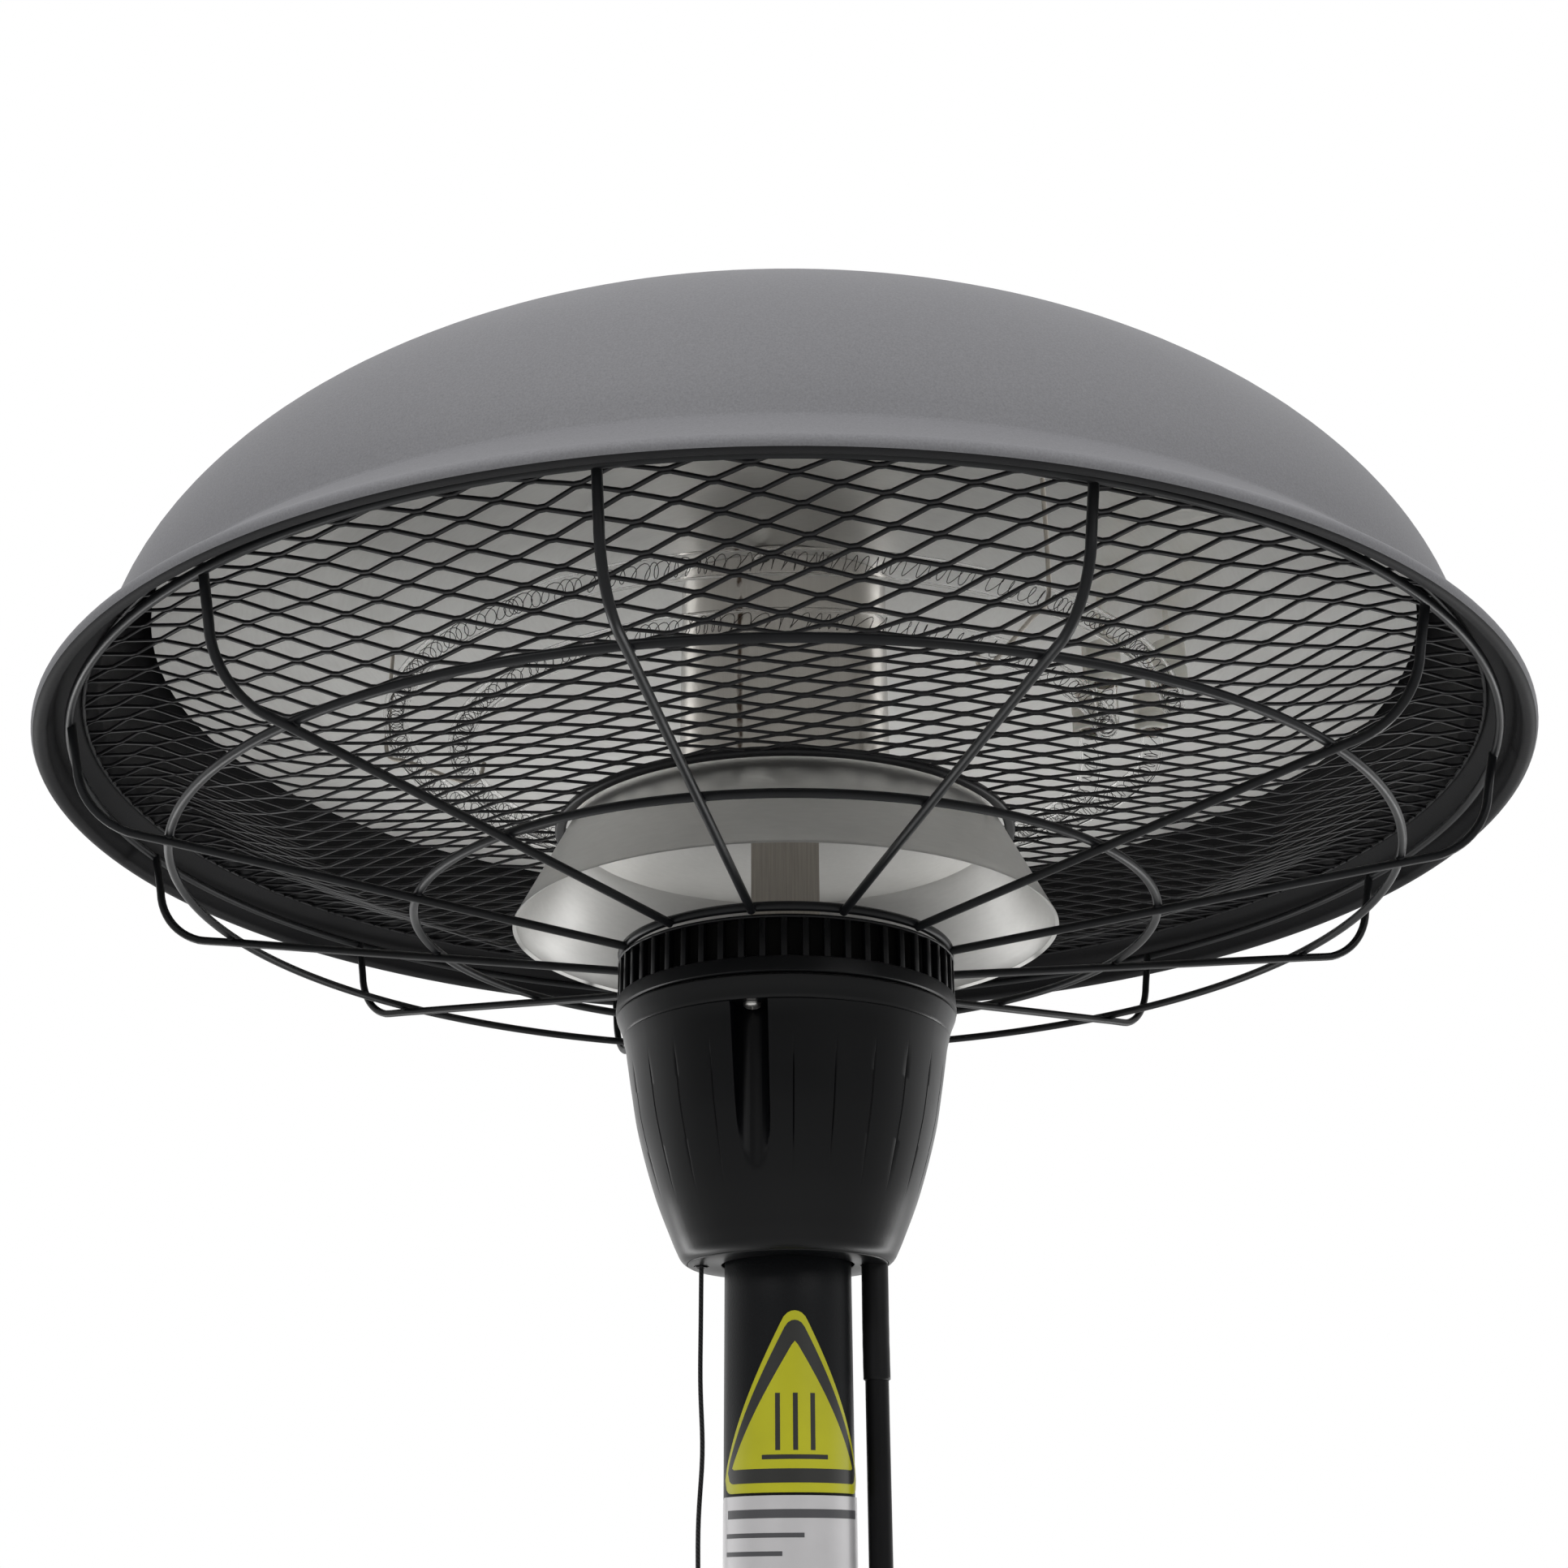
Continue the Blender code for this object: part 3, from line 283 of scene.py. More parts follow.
# Materials ----------------------------------------------------------------------------------
class Look:
    """A node-based material that is put together step by step. Coordinates are metres on the object."""

    def __init__(self, name, colour, roughness, metallic=0.0, **sockets):
        self.mat = bpy.data.materials.new(name)
        self.mat.use_nodes = True
        self.tree = self.mat.node_tree
        self.shader = self.tree.nodes["Principled BSDF"]
        self.colour = colour
        self.shader.inputs["Base Color"].default_value = (*colour, 1.0)
        self.shader.inputs["Roughness"].default_value = roughness
        self.shader.inputs["Metallic"].default_value = metallic
        for socket, value in sockets.items():
            self.shader.inputs[socket.replace("_", " ")].default_value = value
        self.place = self.node("ShaderNodeTexCoord").outputs["Object"]

    def node(self, kind, **settings):
        made = self.tree.nodes.new(kind)
        for key, value in settings.items():
            setattr(made, key, value)
        return made

    def join(self, output, socket):
        self.tree.links.new(output, socket)

    def put(self, output, name):
        self.join(output, self.shader.inputs[name])

    def math(self, operation, a, b=None, c=None):
        made = self.node("ShaderNodeMath", operation=operation)
        for i, value in enumerate((a, b, c)):
            if value is None:
                continue
            if isinstance(value, (int, float)):
                made.inputs[i].default_value = value
            else:
                self.join(value, made.inputs[i])
        return made.outputs[0]

    def stretched(self, x=1.0, y=1.0, z=1.0):
        """The object's coordinates, stretched, so that noise on them gets a grain."""
        made = self.node("ShaderNodeVectorMath", operation="MULTIPLY")
        made.inputs[1].default_value = (x, y, z)
        self.join(self.place, made.inputs[0])
        return made.outputs[0]

    def spun(self, round_share=0.02):
        """Coordinates of distance from the axis, angle and height: noise on them runs in rings."""
        parts = self.node("ShaderNodeSeparateXYZ")
        self.join(self.place, parts.inputs[0])
        x, y, z = parts.outputs
        far = self.math("SQRT", self.math("ADD", self.math("MULTIPLY", x, x), self.math("MULTIPLY", y, y)))
        turn = self.math("MULTIPLY", self.math("ARCTAN2", y, x), round_share)
        made = self.node("ShaderNodeCombineXYZ")
        for value, socket in zip((far, turn, z), made.inputs):
            self.join(value, socket)
        return made.outputs[0]

    def angle(self):
        parts = self.node("ShaderNodeSeparateXYZ")
        self.join(self.place, parts.inputs[0])
        return self.math("ARCTAN2", parts.outputs[0], self.math("MULTIPLY", parts.outputs[1], -1.0))

    def noise(self, scale, detail=2.0, roughness=0.5, at=None):
        made = self.node("ShaderNodeTexNoise")
        made.inputs["Scale"].default_value = scale
        made.inputs["Detail"].default_value = detail
        made.inputs["Roughness"].default_value = roughness
        self.join(at or self.place, made.inputs["Vector"])
        return made.outputs["Fac"]

    def ramp(self, value, low, high, start=0.0, end=1.0):
        """The value from low to high as the input goes from start to end."""
        made = self.node("ShaderNodeMapRange")
        self.join(value, made.inputs["Value"])
        for name, number in (("From Min", low), ("From Max", high), ("To Min", start), ("To Max", end)):
            made.inputs[name].default_value = number
        return made.outputs["Result"]

    def tint(self, value, *stops):
        """Colours set along a value from 0 to 1, as (place, colour) stops."""
        made = self.node("ShaderNodeValToRGB")
        band = made.color_ramp
        while len(band.elements) < len(stops):
            band.elements.new(0.5)
        for element, (place, colour) in zip(band.elements, stops):
            element.position = place
            element.color = (*colour, 1.0)
        self.join(value, made.inputs[0])
        return made.outputs[0]

    def shaded(self, value, darker=0.85, lighter=1.12):
        """The base colour a little darker where the value is low and lighter where it is high."""
        low = tuple(c * darker for c in self.colour)
        high = tuple(min(1.0, c * lighter) for c in self.colour)
        self.put(self.tint(value, (0.30, low), (0.70, high)), "Base Color")
        return self

    def blend(self, mask, first, second):
        """The first colour where the mask is 0 and the second where it is 1."""
        made = self.node("ShaderNodeMix", data_type="RGBA")
        self.join(mask, made.inputs["Factor"])
        for value, socket in ((first, made.inputs[6]), (second, made.inputs[7])):
            if isinstance(value, tuple):
                socket.default_value = (*value, 1.0)
            else:
                self.join(value, socket)
        return made.outputs[2]

    def bump(self, height, strength, distance):
        made = self.node("ShaderNodeBump")
        made.inputs["Strength"].default_value = strength
        made.inputs["Distance"].default_value = distance
        if "Normal" in self.shader.inputs and self.shader.inputs["Normal"].is_linked:
            self.join(self.shader.inputs["Normal"].links[0].from_socket, made.inputs["Normal"])
        self.join(height, made.inputs["Height"])
        self.put(made.outputs["Normal"], "Normal")
        return self

    def rough(self, value, low, high):
        self.put(self.ramp(value, 0.3, 0.7, low, high), "Roughness")
        return self


def powder_coat(name, colour, roughness, grain=1500.0, level=0.35):
    look = Look(name, colour, roughness, Specular_IOR_Level=level)
    look.shaded(look.noise(grain, 3.0, 0.7), 0.86, 1.14)
    look.rough(look.noise(7.0, 3.0), roughness - 0.05, roughness + 0.06)
    return look.bump(look.noise(grain * 0.6, 2.0), 0.35, 0.0002).mat


def satin_black(name, colour, roughness, level=0.3):
    look = Look(name, colour, roughness, Specular_IOR_Level=level)
    look.shaded(look.noise(60.0, 4.0), 0.8, 1.3)
    look.rough(look.noise(25.0, 4.0), roughness - 0.06, roughness + 0.08)
    return look.bump(look.noise(900.0, 2.0), 0.15, 0.0001).mat


def moulded(name, colour, roughness, level=0.4):
    """Moulded plastic: a fine even grain and slow changes of gloss."""
    look = Look(name, colour, roughness, Specular_IOR_Level=level)
    look.shaded(look.noise(12.0, 3.0), 0.92, 1.1)
    look.rough(look.noise(30.0, 3.0), roughness - 0.04, roughness + 0.06)
    return look.bump(look.noise(2200.0, 2.0), 0.2, 0.00006).mat


def spun_aluminium(name, colour, roughness):
    """Aluminium sheet turned on a lathe: fine rings and soft cloudy changes of gloss."""
    look = Look(name, colour, roughness, 1.0)
    rings = look.noise(700.0, 3.0, 0.6, look.spun())
    clouds = look.noise(9.0, 4.0, 0.55)
    mixed = look.math("ADD", look.math("MULTIPLY", rings, 0.35), look.math("MULTIPLY", clouds, 0.65))
    look.shaded(mixed, 0.90, 1.05)
    look.rough(clouds, roughness - 0.05, roughness + 0.07)
    return look.mat


def column_aluminium(name, colour, roughness, seam):
    """Rolled aluminium with its grain along the column and heat stains down the seam."""
    look = Look(name, colour, roughness, 1.0)
    grain = look.noise(1500.0, 3.0, 0.6, look.stretched(1, 1, 0.02))
    streaks = look.noise(60.0, 3.0, 0.6, look.stretched(1, 1, 0.08))
    value = look.math("ADD", look.math("MULTIPLY", grain, 0.35), look.math("MULTIPLY", streaks, 0.65))
    low, high = [tuple(c * share for c in colour) for share in (0.84, 1.06)]
    clean = look.tint(value, (0.25, low), (0.75, high))
    off = look.math("ABSOLUTE", look.math("SUBTRACT", look.angle(), seam))
    wander = look.math("MULTIPLY", look.noise(45.0, 4.0, 0.7), 0.11)
    near = look.ramp(look.math("SUBTRACT", off, look.math("SUBTRACT", wander, 0.045)), 0.0, 0.022, 1.0, 0.0)
    patchy = look.ramp(look.noise(90.0, 3.0, 0.6), 0.42, 0.56)
    stain = look.math("MULTIPLY", near, patchy)
    look.put(look.blend(look.math("MULTIPLY", stain, 0.85), clean, (0.07, 0.040, 0.022)), "Base Color")
    look.put(look.ramp(stain, 0.0, 1.0, roughness, 0.7), "Roughness")
    return look.bump(grain, 0.10, 0.0002).mat


def brushed_steel(name, colour, roughness, x=1.0, y=1.0, z=0.02):
    look = Look(name, colour, roughness, 1.0)
    grain = look.noise(1400.0, 4.0, 0.65, look.stretched(x, y, z))
    look.shaded(grain, 0.80, 1.10)
    look.rough(look.noise(40.0, 3.0), roughness - 0.05, roughness + 0.08)
    return look.bump(grain, 0.15, 0.0001).mat


def quartz_glass():
    look = Look("quartz_glass", (1.0, 1.0, 1.0), 0.0, Transmission_Weight=1.0, IOR=1.06)
    return look.bump(look.noise(25.0, 1.0), 0.03, 0.0005).mat


def hot_wire():
    look = Look("oxidised_wire", (0.016, 0.013, 0.011), 0.7, 0.2)
    look.shaded(look.noise(400.0, 3.0), 0.6, 1.8)
    return look.bump(look.noise(3000.0, 2.0), 0.2, 0.00005).mat


def unglazed_ceramic():
    look = Look("unglazed_ceramic", (0.80, 0.78, 0.72), 0.7, Subsurface_Weight=0.05)
    look.shaded(look.noise(160.0, 4.0), 0.9, 1.05)
    return look.bump(look.noise(1200.0, 3.0), 0.3, 0.0001).mat


def rubber(name, colour, roughness, grain=500.0):
    look = Look(name, colour, roughness, Specular_IOR_Level=0.12)
    look.shaded(look.noise(35.0, 4.0), 0.75, 1.35)
    look.rough(look.noise(90.0, 3.0), roughness - 0.06, roughness + 0.1)
    return look.bump(look.noise(grain, 3.0), 0.25, 0.0001).mat


def braided_fibre():
    look = Look("braided_fibre", (0.012, 0.012, 0.013), 0.85, Specular_IOR_Level=0.2, Sheen_Weight=0.2)
    weave = look.node("ShaderNodeTexWave", wave_type="BANDS", bands_direction="DIAGONAL")
    weave.inputs["Scale"].default_value = 420.0
    weave.inputs["Distortion"].default_value = 1.2
    look.join(look.place, weave.inputs["Vector"])
    look.shaded(weave.outputs["Fac"], 0.6, 1.7)
    return look.bump(weave.outputs["Fac"], 0.6, 0.0002).mat


def printed_film(name, colour, roughness, metallic=0.0):
    """Printed label film with faint creases that catch the light."""
    look = Look(name, colour, roughness, metallic, Specular_IOR_Level=0.5, Coat_Weight=0.15,
                Coat_Roughness=0.12)
    look.shaded(look.noise(45.0, 3.0), 0.93, 1.05)
    return look.bump(look.noise(160.0, 4.0, 0.6), 0.12, 0.0004).mat


def cast_concrete():
    look = Look("cast_concrete", (0.40, 0.39, 0.37), 0.9)
    look.shaded(look.noise(30.0, 6.0, 0.7), 0.75, 1.2)
    return look.bump(look.noise(250.0, 4.0), 0.5, 0.0008).mat


def pale_floor():
    look = Look("pale_floor", (0.80, 0.80, 0.79), 0.75)
    look.shaded(look.noise(1.5, 4.0), 0.985, 1.01)
    return look.bump(look.noise(90.0, 3.0), 0.05, 0.001).mat


SEAM_ANGLE = radians(-23.6)
MATS = {
    "shade": powder_coat("shade_powder_coat", (0.160, 0.160, 0.169), 0.6, level=0.2),
    # Darker inside of the shade; the same black on the lip's underside is painted shade.
    "dark_inside_and_painted_lip_shade": powder_coat("shade_dark_inside_and_painted_lip_shade", (0.009, 0.009, 0.010), 0.6, level=0.15),
    "post": powder_coat("post_powder_coat", (0.006, 0.0065, 0.0075), 0.42, 1800.0, 0.13),
    "wire": satin_black("guard_paint", (0.006, 0.0065, 0.0075), 0.38, 0.2),
    "mesh": satin_black("mesh_paint", (0.006, 0.006, 0.007), 0.42, 0.25),
    "plastic": moulded("housing_plastic", (0.0018, 0.0020, 0.0026), 0.32, 0.20),
    "dish": spun_aluminium("dish_aluminium", (0.97, 0.955, 0.93), 0.38),
    # The cup's and the column's aluminium are set darker than the dish's: painted shade for the darker light
    # that they reflect.
    "cup": spun_aluminium("cup_aluminium_painted_shade", (0.62, 0.615, 0.60), 0.42),
    "column": column_aluminium("column_aluminium", (0.37, 0.355, 0.335), 0.19, SEAM_ANGLE),
    "stem": brushed_steel("stem_steel", (0.42, 0.39, 0.35), 0.36),
    "steel": brushed_steel("zinc_steel", (0.62, 0.61, 0.59), 0.28, 1.0, 1.0, 1.0),
    # Near-black matte for the collar's liner behind the slots: painted shade.
    "dark": moulded("collar_liner_painted_shade", (0.0012, 0.0012, 0.0012), 0.7, 0.1),
    "quartz": quartz_glass(),
    "filament": hot_wire(),
    "ceramic": unglazed_ceramic(),
    "rubber": rubber("cable_rubber", (0.0040, 0.0040, 0.0045), 0.50),
    "sleeve": rubber("shrink_sleeve", (0.0075, 0.0075, 0.008), 0.40, 250.0),
    "fibre": braided_fibre(),
    "yellow": printed_film("label_yellow", (0.44, 0.43, 0.002), 0.34),
    "ink": printed_film("label_ink", (0.016, 0.016, 0.014), 0.34),
    "silver": printed_film("label_silver", (0.60, 0.59, 0.60), 0.34, 0.5),
    "grey_ink": printed_film("label_grey_ink", (0.055, 0.055, 0.06), 0.4),
    "light": moulded("light_plastic", (0.76, 0.75, 0.71), 0.45),
    "concrete": cast_concrete(),
}
CAD_LOOKS = {
    "shade_paint": "shade", "post_paint": "post", "black_wire": "wire", "housing_plastic": "plastic",
    "aluminium": "dish", "steel": "steel", "quartz": "quartz", "filament_wire": "filament",
    "ceramic": "ceramic", "cable_rubber": "rubber", "cord_fibre": "fibre", "label_yellow": "yellow",
    "label_silver": "silver", "light_plastic": "light", "concrete": "concrete",
}


def dress_frame():
    """Gives every CAD node that stays in view its finish."""
    for name, node in frame["nodes"].items():
        look = "stem" if name == "head_stem" else CAD_LOOKS[SLOT_OF[name]]
        node.data.materials.clear()
        node.data.materials.append(MATS[look])


def stand_in(obj, nodes, looks=()):
    """Lets an object stand for CAD nodes: it takes the given looks, rides on their body and hides the nodes.
    """
    for look in looks:
        obj.data.materials.append(MATS[look])
    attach(obj, BODY_OF[nodes[0]])
    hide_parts(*nodes)
    return obj


def lifted(height, x=0.0, y=0.0):
    return Matrix.Translation((x, y, height))


def turned_piece(name, nodes, looks, outline, steps=96, sharp=35, at=None, **how):
    """A piece turned from one outline and set in its place, which stands for CAD nodes."""
    points, faces, marks = turned(outline, steps, **how)
    return stand_in(mesh_object(name, Shape().add(points, faces, marks, at), sharp), nodes, looks)


# Camera -------------------------------------------------------------------------------------
def make_camera():
    """A camera low in front of the head that looks up into it."""
    place = (0.0076, -0.8037, RIM_Z - 0.3033)
    pitch, yaw, roll = 0.3812, 0.0099, -0.0062
    forward = Vector((-sin(yaw) * cos(pitch), cos(yaw) * cos(pitch), sin(pitch)))
    level = Vector((cos(yaw), sin(yaw), 0.0))
    above = level.cross(forward)
    right = level * cos(roll) + above * sin(roll)
    up = above * cos(roll) - level * sin(roll)
    camera = bpy.data.objects.new("camera", bpy.data.cameras.new("camera"))
    bpy.context.scene.collection.objects.link(camera)
    camera.data.sensor_width = 36.0
    camera.data.lens = 46.96
    camera.data.clip_start = 0.02
    camera.matrix_world = Matrix.Translation(place) @ Matrix((right, up, -forward)).transposed().to_4x4()
    bpy.context.scene.camera = camera


# Cords --------------------------------------------------------------------------------------
CABLE_R = 0.0045
CABLE_X = 0.0335
CABLE_ROUTE = (
    (CABLE_X, 0.000, RIM_Z - 0.1830), (CABLE_X, 0.000, RIM_Z - 0.2260), (CABLE_X, 0.000, 1.450),
    (CABLE_X, 0.000, 0.950), (CABLE_X, 0.000, 0.450), (CABLE_X, 0.000, 0.300),
    (0.0400, 0.004, 0.210), (0.0580, 0.022, 0.135), (0.0860, 0.055, 0.0915), (0.1130, 0.098, 0.0690),
    (0.1320, 0.140, 0.0600), (0.1440, 0.172, 0.0520), (0.1490, 0.197, 0.0390), (0.1470, 0.221, 0.0220),
    (0.1380, 0.240, 0.0105), (0.1160, 0.252, 0.0066), (0.0850, 0.2555, 0.0062), (0.0500, 0.2545, 0.0062),
    (0.0150, 0.2535, 0.0062),
)
COIL_AT = (-0.020, 0.312)
COIL_TURNS = 4.5
COIL_RADII = ((0.0, 0.0588), (0.15, 0.0594), (0.65, 0.0594), (1.0, 0.0502), (1.65, 0.0502), (2.0, 0.0411),
              (2.75, 0.0411), (3.05, 0.0456), (3.50, 0.0456), (3.80, 0.0546), (4.5, 0.0546))
COIL_HEIGHTS = ((0.0, 0.0062), (2.50, 0.0062), (2.80, 0.01525), (4.5, 0.01525))
PLUG_AT = (0.0186, 0.3685, 0.0190)
PLUG_TURN = radians(2)
CORD_R = 0.0009
CORD_X = -0.0335


def curve_object(name, points, radius, resolution=4):
    curve = bpy.data.curves.new(name, "CURVE")
    curve.dimensions = "3D"
    curve.bevel_depth = radius
    curve.bevel_resolution = resolution
    curve.use_fill_caps = True
    spline = curve.splines.new("POLY")
    spline.points.add(len(points) - 1)
    for point, place in zip(spline.points, points):
        point.co = (*place, 1.0)
    spline.use_smooth = True
    obj = bpy.data.objects.new(name, curve)
    bpy.context.scene.collection.objects.link(obj)
    return obj


def coil_points():
    """Wound clockwise seen from above, from the outside in and then outwards in a second layer."""
    per_turn = 40
    points = []
    for i in range(1, int(COIL_TURNS * per_turn) + 1):
        turn = i / per_turn
        angle, r = 2 * pi * turn, eased(COIL_RADII, turn)
        points.append(Vector((COIL_AT[0] - r * sin(angle), COIL_AT[1] - r * cos(angle),
                              eased(COIL_HEIGHTS, turn))))
    return points


def make_power_cable():
    coil_start = (COIL_AT[0], COIL_AT[1] - COIL_RADII[0][1], COIL_HEIGHTS[0][1])
    lead = smooth_route([*CABLE_ROUTE, coil_start], 0.010)
    coil = coil_points()
    to_plug = ((-0.002, 0.3669, 0.0166), (0.010, 0.3678, 0.0184), PLUG_AT)
    tail = smooth_route([*coil[-2:], *to_plug], 0.006)
    return curve_object("power_cable_flex", lead + coil + tail[2:], CABLE_R)


def make_plug():
    """A round two-pin plug with a ribbed strain relief, lying beside the coil."""
    ribs = []
    for i in range(6):
        x = 0.005 + 0.0045 * i
        size = 0.0052 + 0.0014 * i / 5
        ribs += [(size + 0.0006, x), (size + 0.0006, x + 0.0022), (size - 0.0007, x + 0.0027),
                 (size - 0.0007, x + 0.0040)]
    body = [(0.0092, 0.0335), (0.0120, 0.0375), (0.0152, 0.0440), (0.0176, 0.0500), (0.0187, 0.0555),
            (0.0188, 0.0600), (0.0188, 0.0672), (0.0184, 0.0690), (0.0172, 0.0700)]
    face = [(0.0166, 0.0700), (0.0160, 0.0692), (0.0, 0.0692)]
    shape = Shape()

    def grip(angle, r, z):
        inside = smoothstep((z - 0.042) / 0.006) * smoothstep((0.066 - z) / 0.004)
        return r - 0.0006 * inside * max(0.0, cos(24 * angle)) ** 2

    lying = Matrix.Rotation(PLUG_TURN, 4, "Z") @ Matrix.Rotation(pi / 2, 4, "Y")
    place = Matrix.Translation(PLUG_AT) @ lying
    points, faces, _ = turned([(0.0, 0.0), (0.0047, 0.0), (0.0050, 0.003), *ribs, *body, *face], 144,
                              closed=False, shift=grip)
    shape.add(points, faces, 0, place)
    for side in (-1, 1):
        pin = [(0.0, 0.0660), (0.0021, 0.0660), (0.0021, 0.0866), *arc((0.0, 0.0876), 0.0023, 0, 90, 5)]
        sleeve = [(0.0, 0.0660), (0.0024, 0.0660), (0.0024, 0.0790), (0.0021, 0.0794), (0.0, 0.0794)]
        at = place @ Matrix.Translation((0.0, side * 0.0095, 0.0))
        for outline, mark in ((pin, 1), (sleeve, 0)):
            points, faces, _ = turned(outline, 24, closed=False)
            shape.add(points, faces, mark, at)
    for side in (-1, 1):
        low, high = (side * 0.0163 - 0.0016, -0.0035, 0.0560), (side * 0.0163 + 0.0016, 0.0035, 0.0702)
        shape.add(*block(low, high, 0.0004), 1, place)
    return stand_in(mesh_object("mains_plug", shape), ["plug"], ["rubber", "steel"])


def make_cable_tie():
    """A flat band round the coil's section."""
    angle = radians(118)
    middle, half_w, corner = 0.0502, 0.0152, 0.0045
    low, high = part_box("cable_tie")[0].z + 0.0006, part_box("cable_tie")[1].z - 0.0006
    centre_z = (low + high) / 2
    half_h = (high - low) / 2
    turn = Matrix.Translation((*COIL_AT, 0)) @ Matrix.Rotation(angle, 4, "Z")
    loop = round_rectangle(-half_w, half_w, -half_h, half_h, corner, 6)
    path = [turn @ Vector((middle + x, 0.0, centre_z + z)) for x, z in loop]
    along = turn.to_3x3() @ Vector((0, 1, 0))
    shape = Shape()
    band = [(-0.00045, -0.0022), (0.00045, -0.0022), (0.00045, 0.0022), (-0.00045, 0.0022)]
    shape.add(*swept(path, band, cyclic=True, up=along))
    return stand_in(mesh_object("cable_tie_band", shape), ["cable_tie"], ["plastic"])


def make_pull_cord():
    """The cord hangs nearly straight, with the slight sway of a light cord that was once wound up."""
    low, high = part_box("pull_cord")[0].z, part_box("pull_cord")[1].z
    count = 110
    points = []
    for i in range(count + 1):
        z = high - (high - low) * i / count
        free = smoothstep((RIM_Z - 0.20 - z) / 0.06) * smoothstep((z - low) / 0.03)
        sway = 0.0007 * sin(46 * z) + 0.0004 * sin(113 * z + 1.0)
        points.append((CORD_X + sway * free, 0.0005 * sin(61 * z) * free, z))
    cord = curve_object("pull_cord_line", points, CORD_R, 3)
    stand_in(cord, ["pull_cord"], ["fibre"])
    knob = make_pull_knob(low)


def make_pull_knob(top):
    body = smooth_outline([(0.0030, -0.0006), (0.0042, -0.003), (0.0048, -0.010), (0.0068, -0.0195),
                           (0.0078, -0.0260), (0.0068, -0.0298)], 0.0008)
    outline = [(0.0, -0.0003), (0.0024, -0.0003), *body, (0.0050, -0.0309), (0.0, -0.0310)]

    def grooved(angle, r, z):
        share = smoothstep((-0.012 - z) / 0.005) * smoothstep((z + 0.0295) / 0.004)
        return r - 0.0005 * share * max(0.0, cos(10 * angle)) ** 2

    return turned_piece("pull_knob_body", ["pull_knob"], ["plastic"], outline, 120, at=lifted(top, CORD_X),
                        closed=False, shift=grooved)


def make_cords():
    cable = stand_in(make_power_cable(), ["power_cable", "cable_coil"], ["rubber"])
    make_plug()
    make_cable_tie()
    make_pull_cord()


# Shade --------------------------------------------------------------------------------------
def make_shade():
    """A dome that flares into a rolled lip: grey outside and round the lip's front, black inside; the lip's
    underside is black too, as painted shade.
    """
    start = acos(STUD_HOLE_R / DOME_R)
    steps, bead_steps, bead_grey = 44, 20, 9
    path = [(DOME_R * cos(start * (1 - i / steps)), DOME_SPRING + DOME_H * sin(start * (1 - i / steps)))
            for i in range(steps + 1)]
    path += smooth_outline([(DOME_R + 0.0002, 0.0253), (0.2812, 0.0238), (0.2832, 0.0218), (0.2870, 0.0180),
                            (0.2928, 0.0124)], 0.0012)
    bead = arc((SHADE_R - BEAD_R, BEAD_Z), BEAD_R, 62, -180, bead_steps)
    inner = list(reversed(offset_path(path, SHEET_T)))
    outline = [*path, *bead, *inner]
    # The bead's steps past bead_grey, round its underside, take the dark inside coat: painted shade.
    marks = [0 if n < len(path) + bead_grey else 1 for n in range(len(outline))]
    turned_piece("shade_shell", ["shade"], ["shade", "dark_inside_and_painted_lip_shade"], outline, 192, 50, lifted(RIM_Z),
                 marks=marks)


def make_cap_nut():
    lift = Vector((0, 0, CROWN_LIFT))
    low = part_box("shade_cap_nut")[0] + lift
    washer_low, washer_high = [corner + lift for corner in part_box("shade_washer")]
    washer = soft_ring(STUD_HOLE_R, washer_high.x, washer_low.z, washer_high.z, 0.0003)
    turned_piece("top_washer", ["shade_washer"], ["steel"], washer, 64)
    hex_h, flat_r, face_r, corner_r, dome_r, chamfer = 0.006, 0.0063, 0.0062, 0.0072, 0.0056, 0.0006
    body = [(0.0, low.z), (face_r, low.z), (corner_r, low.z + chamfer), (corner_r, low.z + hex_h - chamfer),
            (face_r, low.z + hex_h), (dome_r, low.z + hex_h)]
    dome = arc((0.0, low.z + hex_h), dome_r, 0, 90, 10)

    def six_sided(angle, r, z):
        if z > low.z + hex_h - 1e-6 and r <= dome_r + 1e-6:
            return r
        part = (angle % (pi / 3)) - pi / 6
        return min(r, flat_r / cos(part))

    turned_piece("top_cap_nut", ["shade_cap_nut"], ["steel"], [*body, *dome[1:]], 120, closed=False,
                 shift=six_sided)


# Reflectors ---------------------------------------------------------------------------------
def dish_z(radius):
    """Height of the upper reflector's underside at a radius."""
    share = max(0.0, (radius - COLUMN_R) / (DISH_R - COLUMN_R))
    return DISH_TOP_Z - (DISH_TOP_Z - DISH_EDGE_Z) * share ** 1.5


def make_dish():
    radii = [STUD_HOLE_R, COLUMN_R - 0.001, *[COLUMN_R + (DISH_R - COLUMN_R) * i / 40 for i in range(41)]]
    top = [(r, dish_z(r) + 0.001) for r in radii]
    edge = [(DISH_R + 0.0002, DISH_EDGE_Z + 0.0005)]
    under = [(r, dish_z(r)) for r in reversed(radii)]
    turned_piece("upper_reflector_dish", ["upper_reflector"], ["dish"], [*top, *edge, *under], 240, 50,
                 lifted(RIM_Z))


def make_column():
    """A rolled sheet whose ends overlap in a seam."""
    low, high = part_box("reflector_column")
    lap, fade, rise = radians(9), radians(25), 0.0005

    def rolled(angle, r, z):
        off = angle_off(angle, SEAM_ANGLE)
        share = 1.0 if 0.0 <= off <= lap else smoothstep(1.0 - abs(off) / fade) * (off > 0)
        return r - rise + rise * share

    base = [2 * pi * i / 180 for i in range(180)]
    edges = [SEAM_ANGLE + 2 * pi + d for d in (-0.002, -0.0001, 0.0001, 0.002)]
    angles = sorted(base + edges)
    heights = [high.z + (low.z - high.z) * i / 16 for i in range(17)]
    outline = [*[(COLUMN_R, z) for z in heights], *[(COLUMN_R - 0.001, z) for z in reversed(heights)]]
    turned_piece("column_sheet", ["reflector_column"], ["column"], outline, sharp=40, angles=angles,
                 shift=rolled)


